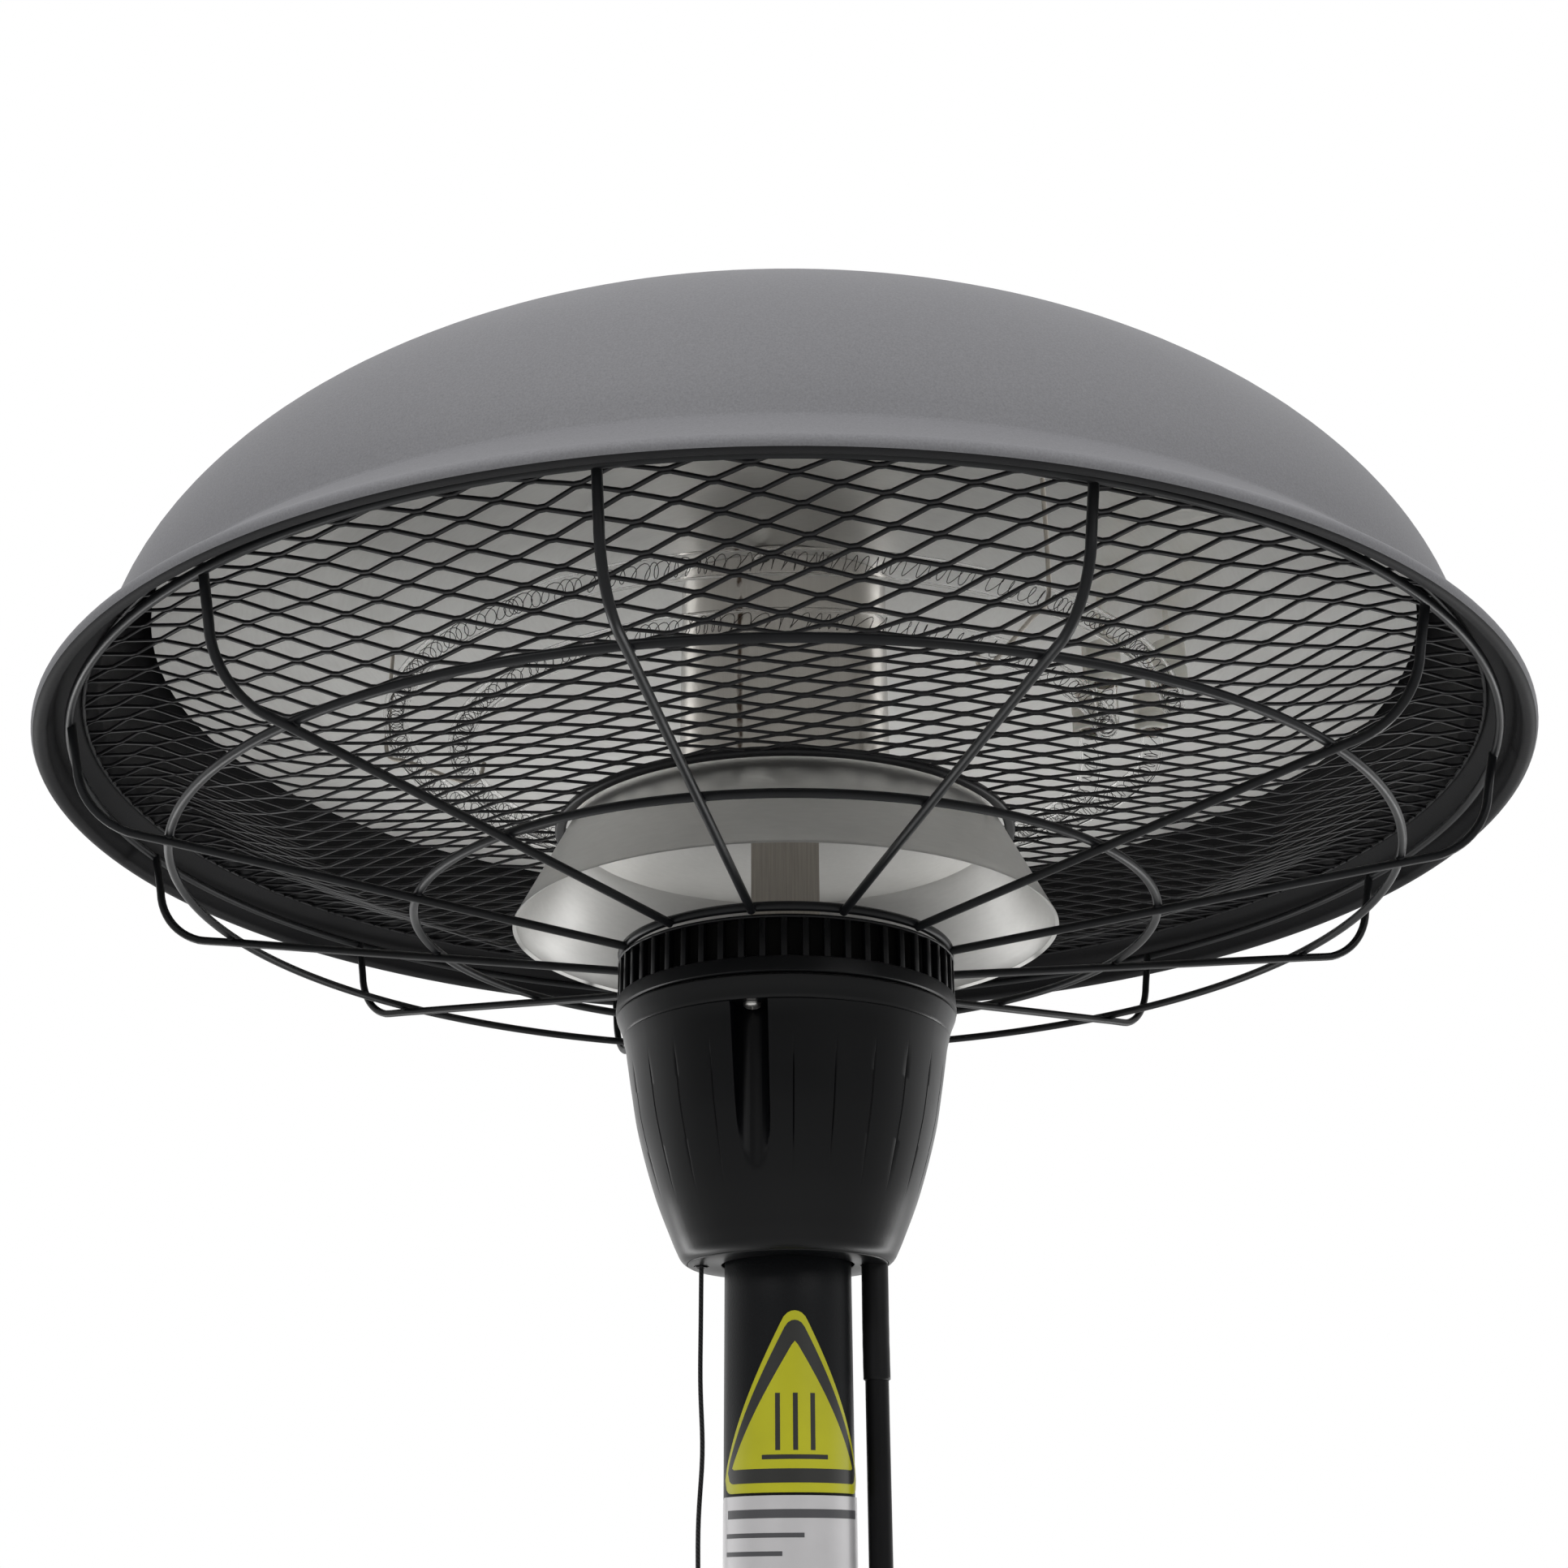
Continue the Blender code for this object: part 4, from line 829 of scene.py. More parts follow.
def make_cup():
    """The lower reflector: a shallow pan, open below, with a thin turned-out mouth."""
    top_r, top_z, mouth_r, mouth_z = 0.0895, -0.004, 0.1115, -0.0485
    shoulder = arc((top_r - 0.0008, top_z - 0.0008), 0.0008, 90, 20, 4)
    wall = [(top_r + 0.0002 + (mouth_r - 0.0010 - top_r) * i / 14,
             top_z - 0.0014 + (mouth_z + 0.0032 - top_z) * i / 14) for i in range(15)]
    mouth = [(mouth_r - 0.0006, mouth_z + 0.0010), (mouth_r, mouth_z + 0.0004), (mouth_r, mouth_z)]
    outside = [(STUD_HOLE_R, top_z), (0.030, top_z), (0.060, top_z), *shoulder, *wall, *mouth]
    inside = list(reversed(offset_path(outside[:-2], 0.0009)))
    turned_piece("lower_reflector_pan", ["lower_reflector"], ["cup"], [*outside, *inside], 240, 40,
                 lifted(RIM_Z))


def cross_screw(name, node, centre, out, head_r, head_h):
    """A pan-head screw with a cross recess; out is the way that its head faces."""
    turns = [radians(90 * i / 8) for i in range(9)]
    dome = [(head_r * cos(a), head_h * (0.35 + 0.65 * sin(a))) for a in turns]
    outline = [(0.0, 0.0), (head_r, 0.0), *dome[:-1], (0.0, head_h)]
    points, faces, _ = turned(outline, 40, closed=False)
    facing = Vector((0, 0, 1)).rotation_difference(Vector(out)).to_matrix().to_4x4()
    place = Matrix.Translation(centre) @ facing
    obj = mesh_object(name, Shape().add(points, faces, 0, place), 30)
    arm, slot = head_r * 0.58, head_r * 0.13
    tools = []
    for low, high in (((-arm, -slot, head_h * 0.35), (arm, slot, head_h * 1.5)),
                      ((-slot, -arm, head_h * 0.35), (slot, arm, head_h * 1.5))):
        tools.append(mesh_object("recess", Shape().add(*block(low, high, slot * 0.4), 0, place)))
    cut(obj, tools)
    return stand_in(obj, [node], ["steel"])


def make_column_screw():
    turn, height = radians(-11), 0.1045
    out = around(turn, 1.0)
    centre = out * (COLUMN_R + 0.0001) + Vector((0, 0, RIM_Z + height))
    cross_screw("column_cross_screw", "column_screw", centre, out, 0.0034, 0.0018)


# Heating elements ---------------------------------------------------------------------------
COIL_R, COIL_PITCH, COIL_WIRE_R = 0.0034, 0.0042, 0.00016
HANGER_TURNS = (35, 155, 270)


def element_path(radius, height, steps, bend_steps=8):
    """Centre line of a ring element: up one leg, round the ring and up the other leg."""
    spread = END_SPREAD * OUTER_RING[0] / radius
    turn = LEG_BEND / radius
    first, last = spread + turn, 2 * pi - spread - turn

    def at(angle, z):
        return Vector((radius * cos(angle), radius * sin(angle), RIM_Z + z))

    leg = [at(spread, LEG_TOP_Z)]
    for i in range(bend_steps + 1):
        a = radians(180 + 90 * i / bend_steps)
        leg.append(at(first + turn * cos(a), height + LEG_BEND * (1 + sin(a))))
    ring = [at(first + (last - first) * i / steps, height) for i in range(1, steps)]
    return leg + ring + [Vector((p.x, -p.y, p.z)) for p in reversed(leg)]


def glass_tube(path, outer, wall, sides=20):
    """A tube with a real wall, closed at both ends by its rims."""
    shape = Shape()
    skins = []
    for radius in (outer, outer - wall):
        points, faces = swept(path, round_section(radius, sides))
        skins.append(len(shape.points))
        shape.add(points, faces[:-2])
    last = len(path) - 1
    for ring in (0, last * sides):
        a, b = skins[0] + ring, skins[1] + ring
        rim = [(a + k, a + (k + 1) % sides, b + (k + 1) % sides, b + k) for k in range(sides)]
        shape.faces += rim
        shape.marks += [0] * len(rim)
    return shape


def filament_line(path, radius, pitch, rng):
    """A loose, uneven coil of fine wire along a path."""
    cable = smooth_route(path, 0.002)
    per_turn = 12
    lengths = [0.0]
    for a, b in zip(cable, cable[1:]):
        lengths.append(lengths[-1] + (b - a).length)
    total, walked, angle, points, i = lengths[-1], 0.003, 0.0, [], 0
    local, size = pitch, radius
    while walked < total - 0.003:
        if len(points) % per_turn == 0:
            local = pitch * rng.uniform(0.45, 1.75)
            size = radius * rng.uniform(0.80, 1.0)
        while lengths[i + 1] < walked:
            i += 1
        along = (cable[i + 1] - cable[i]).normalized()
        centre = cable[i] + along * (walked - lengths[i])
        up = Vector((0, 0, 1)) if abs(along.z) < 0.8 else Vector((1, 0, 0))
        side = along.cross(up).normalized()
        lift = side.cross(along)
        lean = 0.35 * local * sin(angle)
        points.append(centre + along * lean + side * (size * cos(angle)) + lift * (size * sin(angle)))
        angle += 2 * pi / per_turn
        walked += local / per_turn
    return points


def make_elements():
    rng = random.Random(7)
    for label, (radius, height) in (("outer", OUTER_RING), ("inner", INNER_RING)):
        path = element_path(radius, height, 150)
        tube = mesh_object(f"quartz_ring_{label}", glass_tube(path, TUBE_R, TUBE_WALL), 60)
        stand_in(tube, [f"quartz_tube_{label}"], ["quartz"])
        coil = filament_line(path, COIL_R, COIL_PITCH, rng)
        wire = Shape().add(*swept(coil, round_section(COIL_WIRE_R, 5)))
        stand_in(mesh_object(f"filament_coil_{label}", wire, 80), [f"filament_{label}"], ["filament"])
        for number in (1, 2):
            make_end_cap(f"ceramic_{label}_{number}", f"end_cap_{label}_{number}")


def make_end_cap(name, node):
    """A ceramic cap with a groove round it, that holds a tube's end and lets a lead out on top."""
    low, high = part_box(node)
    cap_r, body_top = (high.x - low.x) / 2, low.z + 0.018
    lead_r, bore, bore_h = 0.0012, 0.0053, 0.0083
    outline = [(0.0, high.z), (lead_r, high.z), (lead_r, body_top), (0.0040, body_top),
               *arc((cap_r - 0.0012, body_top - 0.0012), 0.0012, 90, 0, 4),
               (cap_r, low.z + 0.0095), (cap_r - 0.0006, low.z + 0.0088), (cap_r - 0.0006, low.z + 0.0072),
               (cap_r, low.z + 0.0065), *arc((cap_r - 0.0008, low.z + 0.0008), 0.0008, 0, -90, 3),
               (bore, low.z), (bore, low.z + bore_h), (0.0, low.z + bore_h)]
    turned_piece(name, [node], ["ceramic"], outline, 40, 30,
                 lifted(0.0, (low.x + high.x) / 2, (low.y + high.y) / 2), closed=False)


def make_hangers():
    """Wire cradles under both rings, hung from the dish."""
    wire_r, under = 0.0009, TUBE_R + 0.0014
    (r_out, z_out), (r_in, z_in) = OUTER_RING, INNER_RING
    outline = [(r_in - under - 0.0022, z_in + 0.002), (r_in - 0.0062, z_in - under + 0.0007),
               (r_in, z_in - under - 0.0002), ((r_in + r_out) / 2, z_in - 0.0015),
               (r_out - 0.0015, z_out - under - 0.0004), (r_out + 0.0045, z_out - under + 0.0010),
               (r_out + under + 0.0004, z_out), (r_out + under + 0.0004, 0.0840)]
    for number, angle in enumerate(HANGER_TURNS, start=1):
        points = [around(radians(angle), r, RIM_Z + z) for r, z in outline]
        shape = Shape().add(*swept(smooth_route(points, 0.0015), round_section(wire_r, 10)))
        stand_in(mesh_object(f"hanger_wire_{number}", shape, 60), [f"tube_hanger_{number}"], ["stem"])


# Guards -------------------------------------------------------------------------------------
MESH_LONG, MESH_SHORT = 0.0268, 0.01245           # a cell's length and width
MESH_BOND = 0.0028                # length of the bond between two strands
STRAND_W, STRAND_T, STRAND_LEAN = 0.0017, 0.00125, radians(20)
MESH_INNER, MESH_OUTER = 0.0950, 0.2873           # the sheet's edges, measured along it
MESH_Z = -0.0050                  # height of the sheet's flat part
MESH_SLOPE = radians(22.5)
MESH_CREASE = (0.198, 0.212)      # where the flat part bends up into the bowl
MESH_FLANGE = (0.258, 0.272)      # where the bowl flattens again into its outer flange
MESH_SHEAR, MESH_TURN, MESH_BOW = 0.145, -0.144, 0.64         # how the rows of cells lean, turn and bow
MESH_SHIFT = -0.0092


def bowl_meridian():
    """Radius and height of the pressed sheet, millimetre by millimetre of its flat radius."""
    step, r, z = 0.001, 0.0, MESH_Z
    rows = [(r, z, 0.0)]
    for i in range(1, int(MESH_OUTER / step) + 3):
        rise = smoothstep((i * step - MESH_CREASE[0]) / (MESH_CREASE[1] - MESH_CREASE[0]))
        flatten = smoothstep((i * step - MESH_FLANGE[0]) / (MESH_FLANGE[1] - MESH_FLANGE[0]))
        slope = MESH_SLOPE * (rise - 0.9 * flatten)
        r, z = r + step * cos(slope), z + step * sin(slope)
        rows.append((r, z, slope))
    return step, rows


def make_expanded_mesh():
    """Expanded metal: zigzag strands that meet at bonds, flat at first and then pressed into a bowl."""
    step, rows = bowl_meridian()

    def stretch(u, v):
        """The slight unevenness that pressing leaves in the sheet."""
        du = 0.0012 * sin(31 * v + 2.0) + 0.0007 * sin(57 * u + 23 * v)
        dv = 0.0013 * sin(27 * u + 11 * v) + 0.0006 * sin(71 * u - 36 * v + 1.0)
        lift = 0.0008 * sin(38 * u + 19 * v) + 0.0006 * sin(63 * v - 21 * u)
        u += MESH_SHIFT + MESH_SHEAR * v + du
        return u, v + MESH_TURN * u + MESH_BOW * u * u + dv, lift

    def pressed(u, v, h):
        u, v, lift = stretch(u, v)
        rho = max(hypot(u, v), 1e-9)
        i = min(int(rho / step), len(rows) - 2)
        t = rho / step - i
        r, z, slope = [a + (b - a) * t for a, b in zip(rows[i], rows[i + 1])]
        h += lift * smoothstep((MESH_OUTER - rho) / 0.02) * smoothstep((rho - MESH_INNER) / 0.02)
        r -= h * sin(slope)
        return Vector((r * u / rho, r * v / rho, RIM_Z + z + h * cos(slope)))

    half_w, half_t, nip = STRAND_W / 2, STRAND_T / 2, 0.00028
    right = [(half_w - nip, half_t), (half_w, half_t - nip), (half_w, nip - half_t), (half_w - nip, -half_t)]
    flat = [*right, *[(-a, -b) for a, b in right]]
    lean_x, lean_y = cos(STRAND_LEAN), sin(STRAND_LEAN)
    section = [(a * lean_x - b * lean_y, a * lean_y + b * lean_x) for a, b in flat]
    shape = Shape()
    reach = int(1.4 * MESH_OUTER / (MESH_SHORT / 2))
    across = int(1.3 * MESH_OUTER / (MESH_LONG / 2))

    def add_strand(run):
        if len(run) < 2:
            return
        points, size = [], len(section)
        for n, (u, v) in enumerate(run):
            a, b = run[max(n - 1, 0)], run[min(n + 1, len(run) - 1)]
            du, dv = b[0] - a[0], b[1] - a[1]
            length = hypot(du, dv)
            points += [pressed(u - dv / length * s, v + du / length * s, h) for s, h in section]
        faces = [(a + k, a + (k + 1) % size, a + size + (k + 1) % size, a + size + k)
                 for a in range(0, (len(run) - 1) * size, size) for k in range(size)]
        faces += [tuple(reversed(range(size))), tuple(range(len(points) - size, len(points)))]
        shape.add(points, faces)

    def inside(spot):
        return MESH_INNER < hypot(*stretch(*spot)[:2]) < MESH_OUTER

    def edge_between(a, b):
        """Where a strand crosses the sheet's edge, between a point inside and one outside."""
        for _ in range(12):
            middle = ((a[0] + b[0]) / 2, (a[1] + b[1]) / 2)
            a, b = (middle, b) if inside(middle) else (a, middle)
        return a

    for k in range(-reach, reach):
        low_y, high_y = k * MESH_SHORT / 2 + half_w * 0.9, (k + 1) * MESH_SHORT / 2 - half_w * 0.9
        line = []
        for m in range(-across, across + 1):
            x = m * MESH_LONG / 2
            y = low_y if (m + k) % 2 == 0 else high_y
            line += [(x - MESH_BOND / 2, y), (x + MESH_BOND / 2, y)]
        run = []
        for a, b in zip(line, line[1:]):
            if inside(a):
                run.append(a)
                if not inside(b):
                    run.append(edge_between(a, b))
                    add_strand(run)
                    run = []
            elif inside(b):
                run = [edge_between(b, a)]
        add_strand(run)
    edge_r, edge_z, _ = rows[int(MESH_OUTER / step)]
    shape.add(*hoop(edge_r, edge_z, 0.0008, 240, 8))
    stand_in(mesh_object("expanded_mesh", shape, 50), ["mesh_guard"], ["mesh"])


def hoop(radius, height, wire_r, steps=180, sides=12):
    path = [around(2 * pi * i / steps, radius, RIM_Z + height) for i in range(steps)]
    return swept(path, round_section(wire_r, sides), cyclic=True)


def make_hem_ring():
    """The folded edging round the mesh's opening."""
    low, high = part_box("mesh_hem_ring")
    outline = soft_ring(high.x - 0.0032, high.x + 0.0012, low.z, high.z + 0.0004, 0.0011)
    turned_piece("mesh_hem", ["mesh_hem_ring"], ["mesh"], outline, 200, 60)


def guard_line(radius):
    """Height of a radial guard wire's centre line at a radius."""
    ring_r, ring_z = GUARD_RINGS[0]
    return ring_z - GUARD_LIFT - 0.137 * (ring_r - radius)


def make_wire_guard():
    foot = GUARD_WALL_R - GUARD_BEND_R
    centre = (foot, guard_line(foot) + GUARD_BEND_R)
    inner_end = GUARD_HUB_R + 0.0008
    radii = [inner_end + (foot - 0.006 - inner_end) * i / 12 for i in range(13)]
    straight = [(r, guard_line(r)) for r in radii]
    top = (GUARD_TOP_RING[0] - 0.0008, GUARD_TOP_RING[1] + 0.0004)
    outline = [*straight, *arc(centre, GUARD_BEND_R, -76, -8, 14), top]
    weld = turned(arc((0.0, 0.0), 1.0, -90, 90, 8), 14, closed=False)
    weld_size = Matrix.Diagonal((WIRE_R * 1.15, WIRE_R * 1.15, WIRE_R * 0.9, 1.0))
    shape = Shape()
    for i in range(GUARD_COUNT):
        angle = GUARD_TURN + 2 * pi * i / GUARD_COUNT
        path = smooth_route([around(angle, r, RIM_Z + z) for r, z in outline], 0.003)
        shape.add(*swept(path, round_section(WIRE_R, 14)))
        for radius, height in GUARD_RINGS:
            spot = around(angle, radius, RIM_Z + height - GUARD_LIFT / 2)
            shape.add(weld[0], weld[1], 0, Matrix.Translation(spot) @ weld_size)
    for radius, height in (*GUARD_RINGS, GUARD_TOP_RING):
        shape.add(*hoop(radius, height, WIRE_R, 240, 14))
    shape.add(*hoop(GUARD_HUB_R, guard_line(GUARD_HUB_R) + WIRE_R, GUARD_HUB_WIRE_R, 240, 14))
    stand_in(mesh_object("wire_guard_frame", shape, 60), ["wire_guard"], ["wire"])


# Switch housing -----------------------------------------------------------------------------
def make_collar():
    """A ventilated collar: two rings joined by upright ribs, with a plain liner behind them; the liner and
    the ledge seen through the slots are near-black, painted shade.
    """
    low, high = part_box("vent_collar")
    outer, wall, edge, count, slot_w = high.x, 0.003, 0.0006, 52, 0.0058
    top, slot_low, slot_high = RIM_Z - 0.0613, RIM_Z - 0.0772, RIM_Z - 0.0625
    liner_in, liner_out, ledge_z = 0.0625, 0.0645, slot_low - 0.0028
    shape = Shape()
    upper = soft_ring(outer - wall, outer, slot_high, top, 0.0005)
    lower = [(outer - wall, slot_low), (outer - edge, slot_low), (outer, slot_low - edge),
             (outer + 0.0003, low.z + 0.002), (outer + 0.0003, low.z + edge), (outer - edge, low.z),
             (liner_in, low.z), (liner_in, high.z), (liner_out, high.z), (liner_out, ledge_z),
             (outer - wall, ledge_z)]
    shape.add(*turned(upper, 208)[:2])
    # Faces 6 to 9, the liner and the ledge behind the slots, take the near-black: painted shade.
    points, faces, marks = turned(lower, 208, marks=[1 if 5 < n < 10 else 0 for n in range(len(lower))])
    shape.add(points, faces, marks)
    rib_w = 2 * pi * outer / count - slot_w
    rib = block((-rib_w / 2, -outer + 0.0002, slot_low - 0.001),
                (rib_w / 2, -outer + wall, slot_high + 0.0008), 0.0004)
    for i in range(count):
        shape.add(*rib, 0, Matrix.Rotation(2 * pi * i / count, 4, "Z"))
    stand_in(mesh_object("vent_collar_ribs", shape, 30), ["vent_collar"], ["plastic", "dark"])


HOUSING_CURVE = ((0.0638, -0.1020), (0.0619, -0.1140), (0.0588, -0.1310), (0.0519, -0.1550),
                 (0.0448, -0.1730), (0.0424, -0.1782))
HOUSING_WALL = 0.0018
FIRST_GROOVE = radians(-12)
GROOVE_AT, GROOVE_R, GROOVE_TOP_Z = 0.0588, 0.0066, -0.0930
FLUTE_TURNS = (15, 30, 45, 60, 75, 90, 105)      # degrees past each screw groove where a fine flute runs
FLUTE_W = radians(0.4)


def angle_off(angle, centre):
    return (angle - centre + pi) % (2 * pi) - pi


def housing_wall(angle, r, z, inner):
    """The shell's radius at an angle, sunk where a screw groove or a fine flute runs."""
    grow = HOUSING_WALL if inner else 0.0
    if z < GROOVE_TOP_Z + grow:
        for n in range(3):
            off = angle_off(angle, FIRST_GROOVE + 2 * pi * n / 3)
            reach = (GROOVE_R + grow) ** 2 - (GROOVE_AT * sin(off)) ** 2
            if abs(off) < 1.0 and reach > 0:
                r = min(r, GROOVE_AT * cos(off) - reach ** 0.5)
    if inner:
        return r
    centres = [FIRST_GROOVE + 2 * pi * n / 3 + radians(d) for n in range(3) for d in FLUTE_TURNS]
    near = min(abs(angle_off(angle, c)) for c in centres)
    length = smoothstep((-0.1030 - z) / 0.016) * smoothstep((z + 0.1620) / 0.026)
    return r - 0.0004 * length * smoothstep(1.0 - near / FLUTE_W)


def housing_angles():
    """Even steps round the shell, with finer ones at the grooves' edges and across the flutes."""
    fine, edge = [], GROOVE_R / GROOVE_AT
    shares = (0.2, 0.4, 0.6, 0.75, 0.85, 0.92, 0.96, 0.985, 1.0, 1.004, 1.06, 1.12, 1.2, 1.3, 1.304)
    for n in range(3):
        centre = FIRST_GROOVE + 2 * pi * n / 3
        fine += [centre + side * edge * share for side in (-1, 1) for share in shares]
        fine += [centre + radians(d) + FLUTE_W * s for d in FLUTE_TURNS
                 for s in (-1.0, -0.66, -0.33, 0.0, 0.33, 0.66, 1.0)]
    return sorted(a % (2 * pi) for a in [2 * pi * i / 150 for i in range(150)] + fine)


def make_housing():
    """A thin shell under the collar, with a step where the screw grooves start."""
    hair, step_r, foot_r = 0.00001, 0.0652, 0.0391
    floor_z, floor_top = GROOVE_TOP_Z, GROOVE_TOP_Z + HOUSING_WALL
    shoulder = smooth_outline([(0.0684, -0.0850), (0.0679, -0.0863), (0.0666, -0.0894), (0.0656, -0.0925)],
                              0.001)
    shoulder[-1:] = [(0.0656, -0.0924), (step_r, -0.0928), (step_r, floor_z + hair), (step_r, floor_z - hair),
                     (0.0655, -0.0934)]
    body = smooth_outline([(0.0654, -0.0937), (0.0645, -0.0975), *HOUSING_CURVE], 0.0014)
    foot = [(0.0420, -0.1790), (0.0412, -0.1801), (0.0402, -0.1810), (foot_r, -0.1816)]
    outside = [(0.0670, -0.0842), (0.0682, -0.0843), *shoulder, *body, *foot]
    inside = [(foot_r, -0.1798), (0.0400, -0.1790)]
    inside += [(r - HOUSING_WALL, z) for r, z in reversed(body)]
    inside += [(step_r - HOUSING_WALL, floor_top - hair), (0.0654 - HOUSING_WALL, floor_top + hair)]
    inside += [(r - HOUSING_WALL, z) for r, z in reversed(shoulder[:-4]) if z > floor_top + 0.0003]
    is_inner = {spot: n >= len(outside) for n, spot in enumerate([*outside, *inside])}
    points, faces, _ = turned([*outside, *inside], angles=housing_angles(),
                              shift=lambda a, r, z: housing_wall(a, r, z, is_inner[(r, z)]))
    shell = mesh_object("housing_shell", Shape().add(points, faces, 0, lifted(RIM_Z)), 40)
    cut(shell, [cable_hole()])
    stand_in(shell, ["switch_housing"], ["plastic"])
    for n in range(3):
        spot = around(FIRST_GROOVE + 2 * pi * n / 3, GROOVE_AT, RIM_Z + GROOVE_TOP_Z - 0.0001)
        name = f"housing_cross_screw_{n + 1}"
        cross_screw(name, f"housing_screw_{n + 1}", spot, (0, 0, -1), 0.0034, 0.0022)


def drill(x, radius, low, high):
    """A cutter for a round upright hole beside the post."""
    points, faces, _ = turned([(0.0, low), (radius, low), (radius, high), (0.0, high)], 40, closed=False)
    return mesh_object("hole", Shape().add(points, faces, 0, lifted(0.0, x)))


def cable_hole():
    return drill(CABLE_X, 0.0056, RIM_Z - 0.1900, RIM_Z - 0.1700)


def make_floor_plate():
    low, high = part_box("housing_floor")
    plate_top, plate_r = low.z + 0.0022, 0.0388
    points, faces, _ = turned(soft_ring(POST_R + 0.0012, plate_r, low.z, plate_top, 0.0005), 160)
    plate = mesh_object("housing_floor_plate", Shape().add(points, faces))
    tools = [cable_hole(), drill(CORD_X, 0.0030, low.z - 0.01, high.z + 0.01)]
    stand_in(cut(plate, tools), ["housing_floor"], ["plastic"])
    bush_low, bush_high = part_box("cord_bush")
    bore, neck, flange = 0.0014, 0.0027, 0.0042
    outline = [(bore, bush_low.z + 0.0004), (0.0018, bush_low.z), (0.0024, bush_low.z),
               (neck, bush_low.z + 0.0004), (neck, high.z + 0.0002), (flange, high.z + 0.0002),
               (flange, bush_high.z - 0.0003), (0.0038, bush_high.z), (bore, bush_high.z)]
    turned_piece("cord_bush_ring", ["cord_bush"], ["plastic"], outline, 40, at=lifted(0.0, CORD_X))


# Post and base ------------------------------------------------------------------------------
def make_post():
    for node, name in (("upper_post", "post_upper_tube"), ("lower_post", "post_lower_tube")):
        low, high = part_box(node)
        rows, edge, inner_r = 24, 0.0005, POST_R - 0.0015
        wall = [(POST_R, high.z - edge - (high.z - low.z - 2 * edge) * i / rows) for i in range(rows + 1)]
        outline = [(inner_r, high.z), (POST_R - edge, high.z), *wall, (POST_R - edge, low.z),
                   (inner_r, low.z)]
        turned_piece(name, [node], ["post"], outline, 96, 50)


def make_base():
    profile = smooth_outline([(0.0262, 0.0760), (0.0600, 0.0735), (0.1200, 0.0660), (0.1800, 0.0550),
                              (0.2120, 0.0455), (0.2255, 0.0360), (0.2300, 0.0240)], 0.003)
    profile += [(0.2300, 0.0120), (0.2300, 0.0060), (0.2296, 0.0050)]
    inner = list(reversed(offset_path(profile, 0.0015)))
    turned_piece("base_cover_shell", ["base_cover"], ["post"], [*profile, *inner], 192, 40)
    trim = [(POST_R + 0.0003, 0.0910), (0.0262, 0.0910), (0.0272, 0.0905), *smooth_outline(
        [(0.0276, 0.0890), (0.0296, 0.0828), (0.0330, 0.0790), (0.0356, 0.0772)], 0.0008), (0.0360, 0.0767),
        (POST_R + 0.0003, 0.0767)]
    turned_piece("post_trim_ring", ["cover_trim_ring"], ["plastic"], trim)
    pad_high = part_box("base_foot_pad")[1]
    edge = 0.0008
    pad = [(0.0, pad_high.z), (pad_high.x - edge, pad_high.z), (pad_high.x, pad_high.z - edge),
           (pad_high.x, edge), (pad_high.x - edge, 0.0), (0.0, 0.0)]
    turned_piece("foot_pad_disc", ["base_foot_pad"], ["rubber"], pad, 128, closed=False)


# Labels -------------------------------------------------------------------------------------
LABEL_TURN = radians(6)
LABEL_FACE = POST_R + 0.0005
LABEL_SPLIT_Z = RIM_Z - 0.2660    # the foot of the triangle, just above the silver label
FILM, LAYER = 0.00010, 0.00005    # how far the film and each printed layer stand off the label's plate


def wrapped(shape, outline, lift, mark, columns=48):
    """A thin convex patch, cut in upright strips and wrapped round the post. Outline in (along, height)."""
    low_x, high_x = min(p[0] for p in outline), max(p[0] for p in outline)
    edges = list(zip(outline, outline[1:] + outline[:1]))

    def span(x):
        heights = []
        for (xa, za), (xb, zb) in edges:
            if min(xa, xb) - 1e-9 <= x <= max(xa, xb) + 1e-9:
                heights += [za, zb] if abs(xb - xa) < 1e-9 else [za + (zb - za) * (x - xa) / (xb - xa)]
        return min(heights), max(heights)

    thick = 0.00004
    inner = max(1e-7, (high_x - low_x) * 1e-4)
    points = []
    for i in range(columns + 1):
        x = low_x + inner + (high_x - low_x - 2 * inner) * i / columns
        bottom, top = span(x)
        angle = LABEL_TURN + x / LABEL_FACE
        for radius in (LABEL_FACE + lift, LABEL_FACE + lift - thick):
            points += [around(angle, radius, bottom), around(angle, radius, top)]
    faces = []
    for i in range(columns):
        a, b = 4 * i, 4 * i + 4
        faces += [(a, b, b + 1, a + 1), (a + 2, a + 3, b + 3, b + 2), (a, a + 2, b + 2, b),
                  (a + 1, b + 1, b + 3, a + 3)]
    last = 4 * columns
    faces += [(0, 1, 3, 2), (last, last + 2, last + 3, last + 1)]
    shape.add(points, faces, mark)


def rounded_triangle(apex, base, half_side, round_r):
    corners = [((0.0, apex - round_r), 30, 150), ((-half_side + round_r * 1.73, base + round_r), 150, 270),
               ((half_side - round_r * 1.73, base + round_r), 270, 390)]
    return [p for centre, start, end in corners for p in arc(centre, round_r, start, end, 8)]


def bar(x, z, width, height):
    left, right, bottom, top = x - width / 2, x + width / 2, z - height / 2, z + height / 2
    return [(left, bottom), (right, bottom), (right, top), (left, top)]


